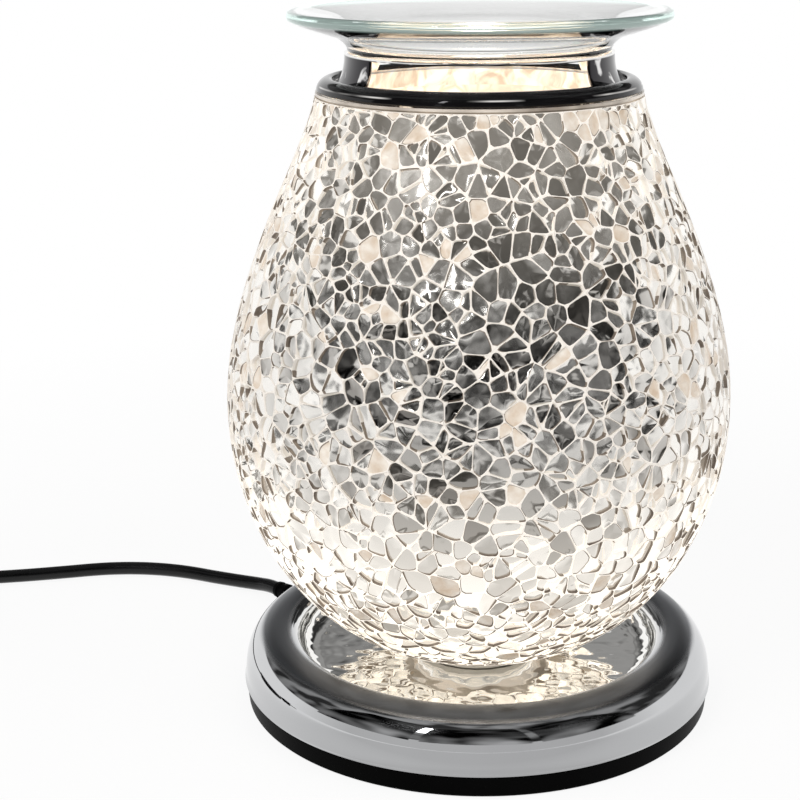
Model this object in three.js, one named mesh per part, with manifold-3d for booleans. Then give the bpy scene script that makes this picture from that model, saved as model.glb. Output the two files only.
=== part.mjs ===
// Electric aroma lamp: a crackle mosaic glass shade on a chrome base, lit by a mains reflector
// lamp that warms a clear oil dish resting in a chrome gallery on top.
// Millimetres, +Z up, origin on the table under the base, front towards -Y.
import * as THREE from 'three';
import { mergeVertices } from 'three/addons/utils/BufferGeometryUtils.js';
import Module from 'manifold-3d';

const wasm = await Module();
wasm.setup();

// General
const roundSides = 40; // facets round each large turned piece
const lampSides = 24; // facets round the lamp, its holder and the discs on the stem
const smallSides = 12; // facets round each small turned piece
const fitGap = 0.3; // clearance between pieces that seat on each other
const looseGap = 0.4; // clearance round a piece that slides or turns
const cutReach = 5; // how far a cutting tool runs past the wall it cuts

// Black base ring, plate, feet and screws
const ringInset = 1.1; // how far the ring's foot stands in from the shell's edge
const ringFlare = 0.6;
const ringWall = 2.4;
const ringBottomZ = 0.4;
const ringHeight = 6.7;
const spigotHeight = 2.8;
const ledgeWidth = 4.6;
const ledgeThickness = 1.7;
const plateThickness = 1.2;
const plateRecess = 2;
const footRadius = 6;
const footInset = 17; // from the ring's side to a foot's middle
const footCount = 4;
const screwCount = 3;
const screwInset = 3.8; // from the ring's bore to a screw's middle
const screwStart = Math.PI / 6;
const screwRadius = 1.5;
const screwLength = 7;
const screwHeadRadius = 2.8;
const screwHeadHeight = 1.4;
const bossWall = 1.6;
const bossHeight = 8;

// Chrome base shell
const shellWall = 1.2;
const shellEdgeRadius = 76.1;
const shellEdgeFlare = 0.4; // how far the edge stands out from the side over it
const shellEdgeHeight = 1.1;
const shellCrestRadius = 64;
const shellHeight = 16.1;
const shellSquareness = 2.4;
const lipRadius = 57.8;
const lipDrop = 3.6;
const recessFloorRadius = 51;
const recessDepth = 9;

// Threaded stem and what it clamps
const stemRadius = 5;
const stemBore = 3.5;
const stemBelowNut = 1;
const stemAboveNut = 1.8;
const nutFlats = 14;
const nutHeight = 4;
const washerRadius = 9;
const washerThickness = 1.2;
const gasketRadius = 19;
const gasketWidth = 9;
const gasketThickness = 1.5;
const clampRadius = 14.5;
const clampThickness = 1.5;
const clampGasketThickness = 1;

// Glass shade and its mosaic skin
const shadeHeight = 179.4;
const shadeBellyRadius = 78.7;
const shadeBellyHeight = 83.2;
const neckOverhang = 0.3; // how far the shade's neck stands out from the bead ring
const mosaicFootRadius = 21.2;
const mosaicFootHeight = 3.6;
const footPull = new THREE.Vector2(28.7, 1.3); // curve handle at the foot
const bellyPullDown = 45; // curve handle under the widest place
const bellyPullUp = 39.8; // curve handle over it
const neckPull = new THREE.Vector2(1.9, 15.9); // curve handle under the neck
const mosaicThickness = 1.6;
const glassThickness = 2.2;
const glassFloorThickness = 2.6;
const glassFloorHole = 8;
const glassFootInset = 1.8;
const outerCurveSteps = 8; // steps along each half of the shade's outline
const innerCurveSteps = 4; // steps along the walls behind it

// Lamp holder bracket
const strapThickness = 1.5;
const strapDepth = 14;
const bracketWidth = 22;
const bracketHeight = 22;
const wireHole = 4;
const holderScrewSpread = 7;
const holderScrewRadius = 1.2;
const holderScrewHead = 2.2;
const holderScrewHeadHeight = 1.3;
const holderScrewLength = 5;

// Twist-lock lamp holder and reflector lamp
const holderRadius = 13.5;
const holderHeight = 14;
const holderChamfer = 1.5;
const pinSpread = 5;
const pinNeckRadius = 1.4;
const pinHeadRadius = 2.5;
const pinHeadHeight = 2.4;
const pinNeckLength = 3;
const pinRoot = 3;
const lockLip = 1.6;
const socketDepth = 8.2;
const twistAngle = Math.PI / 6;
const lampBaseRadius = 12;
const lampBaseHeight = 12.5;
const lampFaceRadius = 25;
const lampHeight = 51;
const lampRimHeight = 4.5;
const lampGlass = 1.6;
const lampChamfer = 1;
const lampShoulder = new THREE.Vector2(20, 4); // curve handle of the flare
const lensLedge = 1;
const bowlPull = new THREE.Vector2(5, 4); // curve handle of the reflector's bowl
const lensThickness = 2;
const capsuleRadius = 5;
const capsuleHeight = 18;
const reflectorBottom = 20;
const reflectorThroat = 6.5;

// Bead ring and gallery collar
const beadRound = 4.1; // from the bead's crest out to its side
const beadLipWidth = 0.8; // from the collar's rebate out to the bead's crest
const beadHeight = 3.9;
const beadSeatHeight = 0.9;
const beadInnerChamfer = 0.8;
const collarTopRadius = 40.3;
const collarFlangeReach = 3.3; // how far the flange stands out from the collar's top edge
const collarFlangeThickness = 0.8;
const collarSkirtReach = 1.7;
const collarSkirtLength = 4.5;
const collarWall = 1;
const collarHeight = 10;
const collarFootStep = 0.2; // how far the waist starts inside the flange
const collarWaistFoot = new THREE.Vector2(1.3, 0.9); // curve handle over the flange
const collarWaistTop = new THREE.Vector2(0.1, 5); // curve handle under the top edge
const windowHalfAngle = THREE.MathUtils.degToRad(51);
const windowSill = 0.6;
const windowLintel = 0.8;

// Clear glass dish
const dishRimRadius = 57.6;
const dishFootEase = 2.9; // from the collar's bore in to the dish's foot
const dishHeight = 13.3;
const dishGlass = 3.2;
const dishSink = 1; // how far the dish foot sits below the collar's top edge
const dishRimRound = 1.4;
const brimLevel = 0.5; // height of the brim's bend, as a share of the dish's
const brimInnerPull = 0.8;
const brimOuterPull = 8;
const rimOverhang = 2.2; // how far the top of the brim starts inside the rim

// Parts inside the base
const blockSize = new THREE.Vector3(12, 22, 7);
const blockRadius = 40;
const moduleSize = new THREE.Vector3(36, 24, 7);
const moduleCentre = new THREE.Vector2(30, -14);
const wireRadius = 0.9;
const wireSpread = 1.35;
const wireSides = 6;
const leadBend = 0.85; // how far out the module's lead runs, as a share of the block's place
const leadSwing = 24; // how far it swings past the module
const leadDip = 1; // how far it sags between its ends

// Mains cord
const cordRadius = 2.5;
const cordSides = 10;
const cordExitAngle = THREE.MathUtils.degToRad(137);
const cordExitZ = 4.6;
const entryRadius = 3.4;
const entryInnerEnd = 54;
const reliefNeckRadius = 3.1;
const reliefFlangeRadius = 4;
const reliefFlangeWidth = 1.8;
const reliefShoulderRadius = 3.7;
const reliefTipRadius = 2.9;
const reliefLength = 22.5;
const reliefInside = 7.2;
const reliefRound = 0.3;
const cordRestZ = 2.6;

// Cord coil, and the plug on its end
const coilCentre = new THREE.Vector2(-222, 36);
const coilMeanRadius = 29.3;
const coilPitch = 5.5;
const coilStartAngle = THREE.MathUtils.degToRad(111);
const coilFinishAngle = Math.PI; // side of the coil where the cord leaves it again
const coilWholeTurns = 7;
const coilStepsPerTurn = 24;
const coilSides = 6;
const plugLength = 36;
const plugWidth = 26;
const plugNose = 13;
const plugThickness = 14.8;
const plugPinSpread = 9.3;
const plugPinRadius = 2;
const plugPinLength = 19;
const plugPinRoot = 4;
const plugNoseRadius = 3.5;
const plugShoulder = 4; // length over which the nose widens into the body
const endFlat = 5; // how far the cord's end runs on over the coil before it bends
const endLength = 18;
const endTurn = THREE.MathUtils.degToRad(12); // how far the cord's end swings away from the coil

// Sizes that follow from the ones above
const coilTurns = coilWholeTurns + (coilFinishAngle - coilStartAngle) / (Math.PI * 2);
const shellSideRadius = shellEdgeRadius - shellEdgeFlare;
const ringRadius = shellEdgeRadius - ringInset;
const ringInner = ringRadius - ringWall;
const footCircle = ringRadius - footInset;
const screwCircle = ringInner - screwInset;
const spigotRadius = shellSideRadius - shellWall - fitGap;
const collarFlangeRadius = collarTopRadius + collarFlangeReach;
const collarSkirtRadius = collarTopRadius + collarSkirtReach;
const beadCrestRadius = collarFlangeRadius + looseGap + beadLipWidth;
const beadRadius = beadCrestRadius + beadRound;
const shadeNeckRadius = beadRadius + neckOverhang;
const dishFootRadius = collarTopRadius - collarWall - dishFootEase;
const stemClear = stemRadius + fitGap;
const plateBottomZ = ringBottomZ + plateRecess;
const plateTopZ = plateBottomZ + plateThickness;
const ledgeZ = plateTopZ + fitGap;
const ringTopZ = ringBottomZ + ringHeight;
const shellEdgeZ = ringTopZ + fitGap;
const shellCrestZ = shellEdgeZ + shellHeight;
const recessZ = shellCrestZ - recessDepth;
const gasketZ = recessZ + fitGap;
const glassFootZ = gasketZ + gasketThickness + fitGap;
const clampGasketZ = glassFootZ + glassFloorThickness + fitGap;
const clampZ = clampGasketZ + clampGasketThickness + fitGap;
const middleNutZ = clampZ + clampThickness + fitGap;
const bracketZ = middleNutZ + nutHeight + fitGap;
const upperNutZ = bracketZ + strapThickness + fitGap;
const stemTopZ = upperNutZ + nutHeight + stemAboveNut;
const lowerWasherZ = recessZ - shellWall - fitGap - washerThickness;
const lowerNutZ = lowerWasherZ - fitGap - nutHeight;
const stemBottomZ = lowerNutZ - stemBelowNut;
const holderZ = bracketZ + bracketHeight + fitGap;
const lampZ = holderZ + holderHeight + fitGap;
const mosaicFootZ = glassFootZ + mosaicFootHeight;
const bellyZ = glassFootZ + shadeBellyHeight;
const neckZ = glassFootZ + shadeHeight;
const beadZ = neckZ + fitGap;
const flangeZ = beadZ + beadSeatHeight + fitGap;
const collarTopZ = flangeZ + collarHeight;
const dishZ = collarTopZ - dishSink;

// Finishes
function finish(color, roughness, metalness, extra = {}) {
  return new THREE.MeshStandardMaterial({ color, roughness, metalness, ...extra });
}

const chrome = finish(0xd8dadc, 0.06, 1);
const blackNickel = finish(0x2c2b2e, 0.1, 1);
const blackPlastic = finish(0x0a0a0b, 0.35, 0);
const rubber = finish(0x161616, 0.85, 0);
const steel = finish(0xa9abae, 0.4, 1);
const brass = finish(0xc39a4a, 0.3, 1);
const ceramic = finish(0xece8df, 0.55, 0);
const clearGlass = finish(0xe8f2ef, 0.03, 0, { transparent: true, opacity: 0.35 });
const shadeGlass = finish(0xf4e9da, 0.2, 0, { transparent: true, opacity: 0.6 });
const mosaic = finish(0xe9dfd0, 0.15, 0.5);
const boardPlastic = finish(0xd9d6cf, 0.5, 0);
const brownWire = finish(0x5a3420, 0.5, 0);
const blueWire = finish(0x2b4f8e, 0.5, 0);
const yellowWire = finish(0xb8a23c, 0.5, 0);

// Small drawing tools
function at(radius, z) {
  return new THREE.Vector2(radius, z);
}

// A solid turned round the Z axis from its half outline.
function turned(outline, sides = roundSides) {
  const points = THREE.ShapeUtils.area(outline) > 0 ? outline : [...outline].reverse();
  const onAxis = points[0].x === 0 && points[points.length - 1].x === 0;
  const profile = onAxis ? points : [...points, points[0]];
  return new THREE.LatheGeometry(profile, sides).rotateX(Math.PI / 2);
}

// A plain ring or disc between two radii.
function washer(innerRadius, outerRadius, z, height, sides = roundSides) {
  return turned([at(innerRadius, z), at(outerRadius, z), at(outerRadius, z + height),
    at(innerRadius, z + height)], sides);
}

function rod(radius, z, height, sides = smallSides) {
  return washer(0, radius, z, height, sides);
}

// Points on a quarter of a rounded square, from its side to its top or bottom.
function quarter(centre, width, height, steps, squareness = 2) {
  const points = [];
  for (let i = 0; i <= steps; i++) {
    const angle = (i / steps) * Math.PI / 2;
    const across = Math.cos(angle) ** (2 / squareness);
    const upward = Math.sin(angle) ** (2 / squareness);
    points.push(at(centre.x + width * across, centre.y + height * upward));
  }
  return points;
}

// A line moved sideways, to the left of its direction, by a distance.
function moved(line, distance) {
  return line.map((point, i) => {
    const before = line[Math.max(i - 1, 0)];
    const after = line[Math.min(i + 1, line.length - 1)];
    const along = after.clone().sub(before).normalize();
    return at(point.x - along.y * distance, point.y + along.x * distance);
  });
}

function prism(shape, z, height) {
  return new THREE.ExtrudeGeometry(shape, { depth: height, bevelEnabled: false, steps: 1 })
    .translate(0, 0, z);
}

function block(width, depth, height, x, y, z) {
  return new THREE.BoxGeometry(width, depth, height).translate(x, y, z + height / 2);
}

function tube(points, radius, sides, steps) {
  const ring = [];
  for (let i = 0; i < sides; i++) {
    const angle = (i / sides) * Math.PI * 2;
    ring.push(at(radius * Math.cos(angle), radius * Math.sin(angle)));
  }
  const path = new THREE.CatmullRomCurve3(points, false, 'centripetal');
  return new THREE.ExtrudeGeometry(new THREE.Shape(ring), { extrudePath: path, steps });
}

// Booleans
function solidOf(geometry) {
  const bare = geometry.clone();
  bare.deleteAttribute('normal');
  bare.deleteAttribute('uv');
  const merged = mergeVertices(bare, 1e-4);
  const index = merged.index.array;
  const corners = [];
  for (let i = 0; i < index.length; i += 3) {
    const [a, b, c] = [index[i], index[i + 1], index[i + 2]];
    if (a !== b && b !== c && c !== a) corners.push(a, b, c);
  }
  return new wasm.Manifold(new wasm.Mesh({
    numProp: 3,
    vertProperties: new Float32Array(merged.attributes.position.array),
    triVerts: new Uint32Array(corners),
  }));
}

function geometryOf(solid) {
  const mesh = solid.getMesh();
  const geometry = new THREE.BufferGeometry();
  geometry.setAttribute('position', new THREE.BufferAttribute(mesh.vertProperties, 3));
  geometry.setIndex(new THREE.BufferAttribute(mesh.triVerts, 1));
  return geometry;
}

function cut(geometry, tools) {
  return geometryOf(tools.reduce((left, tool) => left.subtract(solidOf(tool)), solidOf(geometry)));
}

function join(geometries) {
  const [first, ...others] = geometries;
  return geometryOf(others.reduce((sum, other) => sum.add(solidOf(other)), solidOf(first)));
}

const lamp = new THREE.Group();
function add(name, geometry, material) {
  const mesh = new THREE.Mesh(geometry, material);
  mesh.name = name;
  lamp.add(mesh);
  return mesh;
}

function around(count, start = 0) {
  return Array.from({ length: count }, (_, i) => start + (i / count) * Math.PI * 2);
}

// Base ring, plate, screws and feet
const screwAngles = around(screwCount, screwStart);
function onCircle(geometry, circle, angle) {
  return geometry.translate(circle * Math.cos(angle), circle * Math.sin(angle), 0);
}

// The tool that cuts the cord's way in, along the exit's direction.
function cordEntry(radius) {
  const length = shellEdgeRadius + cutReach - entryInnerEnd;
  return rod(radius, entryInnerEnd, length).rotateY(Math.PI / 2)
    .translate(0, 0, cordExitZ).rotateZ(cordExitAngle);
}

function baseRing() {
  const body = turned([
    at(ringInner, ringBottomZ),
    at(ringRadius, ringBottomZ),
    at(ringRadius + ringFlare, ringTopZ),
    at(spigotRadius, ringTopZ),
    at(spigotRadius, ringTopZ + spigotHeight),
    at(ringInner, ringTopZ + spigotHeight),
    at(ringInner, ledgeZ + ledgeThickness),
    at(ringInner - ledgeWidth, ledgeZ + ledgeThickness),
    at(ringInner - ledgeWidth, ledgeZ),
    at(ringInner, ledgeZ),
  ]);
  const holeRadius = screwRadius + fitGap;
  const bosses = screwAngles.map((angle) => onCircle(
    rod(holeRadius + bossWall, ledgeZ, bossHeight), screwCircle, angle));
  const holes = screwAngles.map((angle) => onCircle(
    rod(holeRadius, ledgeZ - cutReach, screwLength + cutReach), screwCircle, angle));
  return cut(join([body, ...bosses]), [...holes, cordEntry(entryRadius)]);
}

function bottomPlate() {
  const plate = rod(ringInner - fitGap, plateBottomZ, plateThickness, roundSides);
  const holes = screwAngles.map((angle) => onCircle(
    rod(screwRadius + looseGap, plateBottomZ - 1, plateThickness + 2), screwCircle, angle));
  return cut(plate, [...holes, cordEntry(entryRadius)]);
}

function panScrew(radius, length, headRadius, headHeight) {
  return turned([
    at(0, -headHeight),
    at(headRadius * 0.8, -headHeight),
    at(headRadius, -headHeight * 0.4),
    at(headRadius, 0),
    at(radius, 0),
    at(radius, length - radius),
    at(0, length),
  ], smallSides);
}

add('base_ring', baseRing(), blackPlastic);
add('bottom_plate', bottomPlate(), steel);
screwAngles.forEach((angle, i) => {
  const screw = panScrew(screwRadius, screwLength, screwHeadRadius, screwHeadHeight);
  screw.translate(0, 0, plateBottomZ - fitGap);
  add(`bottom_screw_${i + 1}`, onCircle(screw, screwCircle, angle), steel);
});
around(footCount).forEach((angle, i) => {
  const foot = rod(footRadius, 0, plateBottomZ - fitGap, smallSides);
  add(`rubber_foot_${i + 1}`, onCircle(foot, footCircle, angle), rubber);
});

// Chrome base shell
function shellSkin(sideSteps, roundSteps) {
  const sideZ = shellEdgeZ + shellEdgeHeight;
  const lipZ = shellCrestZ - lipDrop;
  const side = quarter(at(shellCrestRadius, sideZ), shellSideRadius - shellCrestRadius,
    shellCrestZ - sideZ, sideSteps, shellSquareness);
  const lip = quarter(at(shellCrestRadius, lipZ), lipRadius - shellCrestRadius, lipDrop, roundSteps);
  const bowl = quarter(at(recessFloorRadius, lipZ), lipRadius - recessFloorRadius,
    recessZ - lipZ, roundSteps);
  return [...side, ...lip.reverse().slice(1), ...bowl.slice(1)];
}

function baseShell() {
  const inside = moved(shellSkin(4, 2), shellWall).slice(1, -1);
  const outline = [
    at(shellEdgeRadius, shellEdgeZ),
    ...shellSkin(7, 4),
    at(stemClear, recessZ),
    at(stemClear, recessZ - shellWall),
    at(recessFloorRadius, recessZ - shellWall),
    ...inside.reverse(),
    at(shellSideRadius - shellWall, shellEdgeZ + shellEdgeHeight),
    at(shellSideRadius - shellWall, shellEdgeZ),
  ];
  return cut(turned(outline), [cordEntry(entryRadius)]);
}

add('base_shell', baseShell(), chrome);

// Stem, nuts, washers, gaskets and clamp
function hexNut(z) {
  const corner = nutFlats / Math.sqrt(3);
  const shape = new THREE.Shape(around(6).map((a) => at(corner * Math.cos(a), corner * Math.sin(a))));
  shape.holes.push(new THREE.Path().absarc(0, 0, stemClear, 0, Math.PI * 2, true));
  return new THREE.ExtrudeGeometry(shape, { depth: nutHeight, bevelEnabled: false, curveSegments: 6 })
    .translate(0, 0, z);
}

add('stem_tube', washer(stemBore, stemRadius, stemBottomZ, stemTopZ - stemBottomZ, smallSides), brass);
add('stem_washer', washer(stemClear, washerRadius, lowerWasherZ, washerThickness, lampSides), steel);
add('stem_nut_lower', hexNut(lowerNutZ), brass);
add('stem_nut_middle', hexNut(middleNutZ), brass);
add('stem_nut_upper', hexNut(upperNutZ), brass);
add('shade_gasket', washer(gasketRadius - gasketWidth, gasketRadius, gasketZ, gasketThickness,
  lampSides),
  rubber);
add('clamp_gasket', washer(glassFloorHole, clampRadius, clampGasketZ, clampGasketThickness, lampSides),
  rubber);
add('clamp_disc', washer(stemClear, clampRadius, clampZ, clampThickness, lampSides), steel);

// Shade: one outline curve, and the two walls that follow it
function shadeLine(steps) {
  const foot = at(mosaicFootRadius, mosaicFootZ);
  const belly = at(shadeBellyRadius, bellyZ);
  const neck = at(shadeNeckRadius, neckZ);
  const lower = new THREE.CubicBezierCurve(foot, foot.clone().add(footPull),
    at(belly.x, belly.y - bellyPullDown), belly);
  const upper = new THREE.CubicBezierCurve(belly, at(belly.x, belly.y + bellyPullUp),
    at(neck.x + neckPull.x, neck.y - neckPull.y), neck);
  return [...lower.getPoints(steps), ...upper.getPoints(steps).slice(1)];
}

function mosaicSkin() {
  const inside = moved(shadeLine(innerCurveSteps), mosaicThickness);
  return turned([...shadeLine(outerCurveSteps), ...inside.reverse()]);
}

function glassShade() {
  const line = shadeLine(innerCurveSteps);
  const outside = moved(line, mosaicThickness + fitGap);
  const inside = moved(line, mosaicThickness + fitGap + glassThickness);
  const footRadiusOut = mosaicFootRadius - glassFootInset;
  const footRadiusIn = footRadiusOut - glassFloorThickness;
  const shoulderZ = mosaicFootZ + mosaicThickness / 2;
  return turned([
    at(glassFloorHole, glassFootZ),
    at(footRadiusOut, glassFootZ),
    at(footRadiusOut, shoulderZ),
    ...outside,
    ...inside.reverse(),
    at(footRadiusIn, shoulderZ + glassFloorThickness / 2),
    at(footRadiusIn, glassFootZ + glassFloorThickness),
    at(glassFloorHole, glassFootZ + glassFloorThickness),
  ]);
}

add('glass_shade', glassShade(), shadeGlass);
add('mosaic_skin', mosaicSkin(), mosaic);

// Bracket that carries the lamp holder
const holderScrewX = [-holderScrewSpread, holderScrewSpread];

function holderBracket() {
  const frame = new THREE.Shape([at(-bracketWidth / 2, 0), at(bracketWidth / 2, 0),
    at(bracketWidth / 2, bracketHeight), at(-bracketWidth / 2, bracketHeight)]);
  const halfInside = bracketWidth / 2 - strapThickness;
  frame.holes.push(new THREE.Path([at(-halfInside, strapThickness),
    at(-halfInside, bracketHeight - strapThickness), at(halfInside, bracketHeight - strapThickness),
    at(halfInside, strapThickness)]));
  const strap = prism(frame, -strapDepth / 2, strapDepth).rotateX(Math.PI / 2)
    .translate(0, 0, bracketZ);
  const topZ = bracketZ + bracketHeight;
  return cut(strap, [
    rod(stemClear, bracketZ - 1, strapThickness + 2),
    rod(wireHole, topZ - strapThickness - 1, strapThickness + 2),
    ...holderScrewX.map((x) => rod(holderScrewRadius + fitGap, topZ - strapThickness - 1,
      strapThickness + 2).translate(x, 0, 0)),
  ]);
}

add('holder_bracket', holderBracket(), steel);
holderScrewX.forEach((x, i) => {
  const screw = panScrew(holderScrewRadius, holderScrewLength, holderScrewHead, holderScrewHeadHeight);
  screw.translate(x, 0, bracketZ + bracketHeight - strapThickness - fitGap);
  add(`holder_screw_${i + 1}`, screw, steel);
});

// Twist-lock holder: round entries on the front and back, and arcs that the pins turn along
const socketZ = holderZ + holderHeight - socketDepth;
const holderTopZ = holderZ + holderHeight;
const lockAngles = [Math.PI / 2, -Math.PI / 2]; // where the pins rest when locked

function arcSlot(halfWidth, startAngle, endAngle, z, height) {
  const shape = new THREE.Shape();
  const middle = (angle) => at(pinSpread * Math.cos(angle), pinSpread * Math.sin(angle));
  shape.absarc(0, 0, pinSpread + halfWidth, startAngle, endAngle, false);
  shape.absarc(middle(endAngle).x, middle(endAngle).y, halfWidth, endAngle, endAngle + Math.PI, false);
  shape.absarc(0, 0, pinSpread - halfWidth, endAngle, startAngle, true);
  shape.absarc(middle(startAngle).x, middle(startAngle).y, halfWidth, startAngle + Math.PI,
    startAngle + Math.PI * 2, false);
  return new THREE.ExtrudeGeometry(shape, { depth: height, bevelEnabled: false, curveSegments: 4 })
    .translate(0, 0, z);
}

function lampHolder() {
  const body = turned([
    at(0, holderZ),
    at(holderRadius - holderChamfer, holderZ),
    at(holderRadius, holderZ + holderChamfer),
    at(holderRadius, holderTopZ - holderChamfer),
    at(holderRadius - holderChamfer, holderTopZ),
    at(0, holderTopZ),
  ], lampSides);
  const headClear = pinHeadRadius + looseGap;
  const neckClear = pinNeckRadius + looseGap;
  const tools = [];
  for (const locked of lockAngles) {
    const open = locked + twistAngle;
    tools.push(arcSlot(headClear, locked, open, socketZ, socketDepth - lockLip));
    tools.push(arcSlot(neckClear, locked, open, socketZ, socketDepth + 1));
    tools.push(rod(headClear, socketZ, socketDepth + 1).translate(
      pinSpread * Math.cos(open), pinSpread * Math.sin(open), 0));
  }
  const screwDepth = holderScrewLength - strapThickness - fitGap;
  for (const x of holderScrewX) {
    tools.push(rod(holderScrewRadius + fitGap, holderZ - 1, screwDepth + 1).translate(x, 0, 0));
  }
  return cut(body, tools);
}

add('lamp_holder', lampHolder(), ceramic);

// Reflector lamp: body, lens, burner and two pins
function lampBody() {
  const topZ = lampZ + lampHeight;
  const lensRadius = lampFaceRadius - lampGlass;
  const cupZ = lampZ + reflectorBottom;
  const flare = new THREE.QuadraticBezierCurve(at(lampBaseRadius, lampZ + lampBaseHeight),
    at(lampShoulder.x, lampZ + lampBaseHeight + lampShoulder.y),
    at(lampFaceRadius, topZ - lampRimHeight));
  const bowl = new THREE.QuadraticBezierCurve(at(lensRadius - lensLedge, topZ - lampRimHeight),
    at(lensRadius - bowlPull.x, cupZ + bowlPull.y), at(reflectorThroat, cupZ));
  const body = turned([
    at(0, lampZ),
    at(lampBaseRadius - lampChamfer, lampZ),
    at(lampBaseRadius, lampZ + lampChamfer),
    ...flare.getPoints(4),
    at(lampFaceRadius, topZ),
    at(lensRadius, topZ),
    at(lensRadius, topZ - lensThickness - fitGap),
    at(lensRadius - lensLedge, topZ - lensThickness - fitGap),
    ...bowl.getPoints(3),
    at(0, cupZ),
  ], lampSides);
  return cut(body, lockAngles.map((angle) => rod(pinNeckRadius + fitGap, lampZ - 1, pinRoot + 1)
    .translate(pinSpread * Math.cos(angle), pinSpread * Math.sin(angle), 0)));
}

function lampPin() {
  const neckTop = lampZ + pinRoot - fitGap;
  const headTop = lampZ - fitGap - pinNeckLength;
  return turned([
    at(0, headTop - pinHeadHeight),
    at(pinHeadRadius, headTop - pinHeadHeight),
    at(pinHeadRadius, headTop),
    at(pinNeckRadius, headTop),
    at(pinNeckRadius, neckTop),
    at(0, neckTop),
  ], smallSides);
}

add('lamp_body', lampBody(), ceramic);
add('lamp_lens', rod(lampFaceRadius - lampGlass - fitGap, lampZ + lampHeight - lensThickness,
  lensThickness, lampSides), clearGlass);
const capsuleZ = lampZ + reflectorBottom + fitGap;
add('lamp_capsule', turned([
  at(0, capsuleZ),
  at(capsuleRadius, capsuleZ),
  ...quarter(at(0, capsuleZ + capsuleHeight - capsuleRadius), capsuleRadius, capsuleRadius, 4)
    .map((point, i) => (i === 4 ? at(0, point.y) : point)),
], smallSides), clearGlass);
lockAngles.forEach((angle, i) => {
  add(`lamp_pin_${i + 1}`, lampPin().translate(pinSpread * Math.cos(angle),
    pinSpread * Math.sin(angle), 0), brass);
});

// Bead ring that caps the shade, and the gallery collar that stands in it
function beadRing() {
  const bore = collarSkirtRadius + looseGap;
  const rebate = collarFlangeRadius + looseGap;
  const crown = quarter(at(beadCrestRadius, beadZ), beadRadius - beadCrestRadius, beadHeight, 5);
  return turned([
    at(bore, beadZ),
    ...crown,
    at(rebate, beadZ + beadHeight - beadInnerChamfer),
    at(rebate, beadZ + beadSeatHeight),
    at(bore, beadZ + beadSeatHeight),
  ]);
}

function galleryCollar() {
  const flangeTop = flangeZ + collarFlangeThickness;
  const waist = new THREE.CubicBezierCurve(at(collarFlangeRadius - collarFootStep, flangeTop),
    at(collarTopRadius + collarWaistFoot.x, flangeTop + collarWaistFoot.y),
    at(collarTopRadius - collarWaistTop.x, collarTopZ - collarWaistTop.y),
    at(collarTopRadius, collarTopZ));
  const outside = waist.getPoints(5);
  const inside = moved(outside, collarWall).reverse();
  inside[0].y = collarTopZ;
  const skirtInner = collarSkirtRadius - collarWall;
  const body = turned([
    at(skirtInner, flangeZ - collarSkirtLength),
    at(collarSkirtRadius, flangeZ - collarSkirtLength),
    at(collarSkirtRadius, flangeZ),
    at(collarFlangeRadius, flangeZ),
    at(collarFlangeRadius, flangeTop),
    ...outside,
    ...inside.slice(0, -1),
    at(skirtInner, flangeTop - collarFootStep),
  ]);
  const windowZ = flangeTop + windowSill;
  const windowTop = collarTopZ - windowLintel;
  const reach = collarFlangeRadius + cutReach;
  const windows = [0, Math.PI].map((turn) => {
    const shape = new THREE.Shape();
    shape.moveTo(0, 0);
    shape.absarc(0, 0, reach, -windowHalfAngle, windowHalfAngle, false);
    return new THREE.ExtrudeGeometry(shape, { depth: windowTop - windowZ, bevelEnabled: false,
      curveSegments: 5 }).translate(0, 0, windowZ).rotateZ(turn - Math.PI / 2);
  });
  return cut(body, windows);
}

add('bead_ring', beadRing(), blackNickel);
add('gallery_collar', galleryCollar(), chrome);

// Oil dish: a short steep wall that drops into the collar, and a wide brim
function glassDish() {
  const wallRadius = collarTopRadius - collarWall;
  const rimZ = dishZ + dishHeight - dishRimRound;
  const bendZ = dishZ + dishHeight * brimLevel;
  const seat = at(wallRadius, collarTopZ + looseGap);
  const rimUnder = at(dishRimRadius - dishRimRound * 0.2, rimZ - dishRimRound * 0.8);
  const rimOver = at(dishRimRadius - rimOverhang, rimZ + dishRimRound);
  const brimUnder = new THREE.CubicBezierCurve(seat, at(wallRadius + brimInnerPull, bendZ),
    at(dishRimRadius - brimOuterPull, bendZ), rimUnder);
  const brimOver = new THREE.CubicBezierCurve(rimOver,
    at(rimOver.x - brimOuterPull, bendZ + dishGlass), at(wallRadius, bendZ + dishGlass),
    at(dishFootRadius - dishGlass / 3, dishZ + dishGlass));
  return turned([
    at(0, dishZ),
    at(dishFootRadius, dishZ),
    ...brimUnder.getPoints(5),
    at(dishRimRadius, rimZ),
    at(dishRimRadius - dishRimRound * 0.4, rimZ + dishRimRound * 0.7),
    ...brimOver.getPoints(5),
    at(0, dishZ + dishGlass),
  ]);
}

add('glass_dish', glassDish(), clearGlass);

// Electrics inside the base
const blockZ = plateTopZ + fitGap;
add('terminal_block', block(blockSize.x, blockSize.y, blockSize.z, blockRadius, 0, blockZ)
  .rotateZ(cordExitAngle), boardPlastic);
add('touch_module', block(moduleSize.x, moduleSize.y, moduleSize.z, moduleCentre.x, moduleCentre.y,
  blockZ), blackPlastic);

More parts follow.
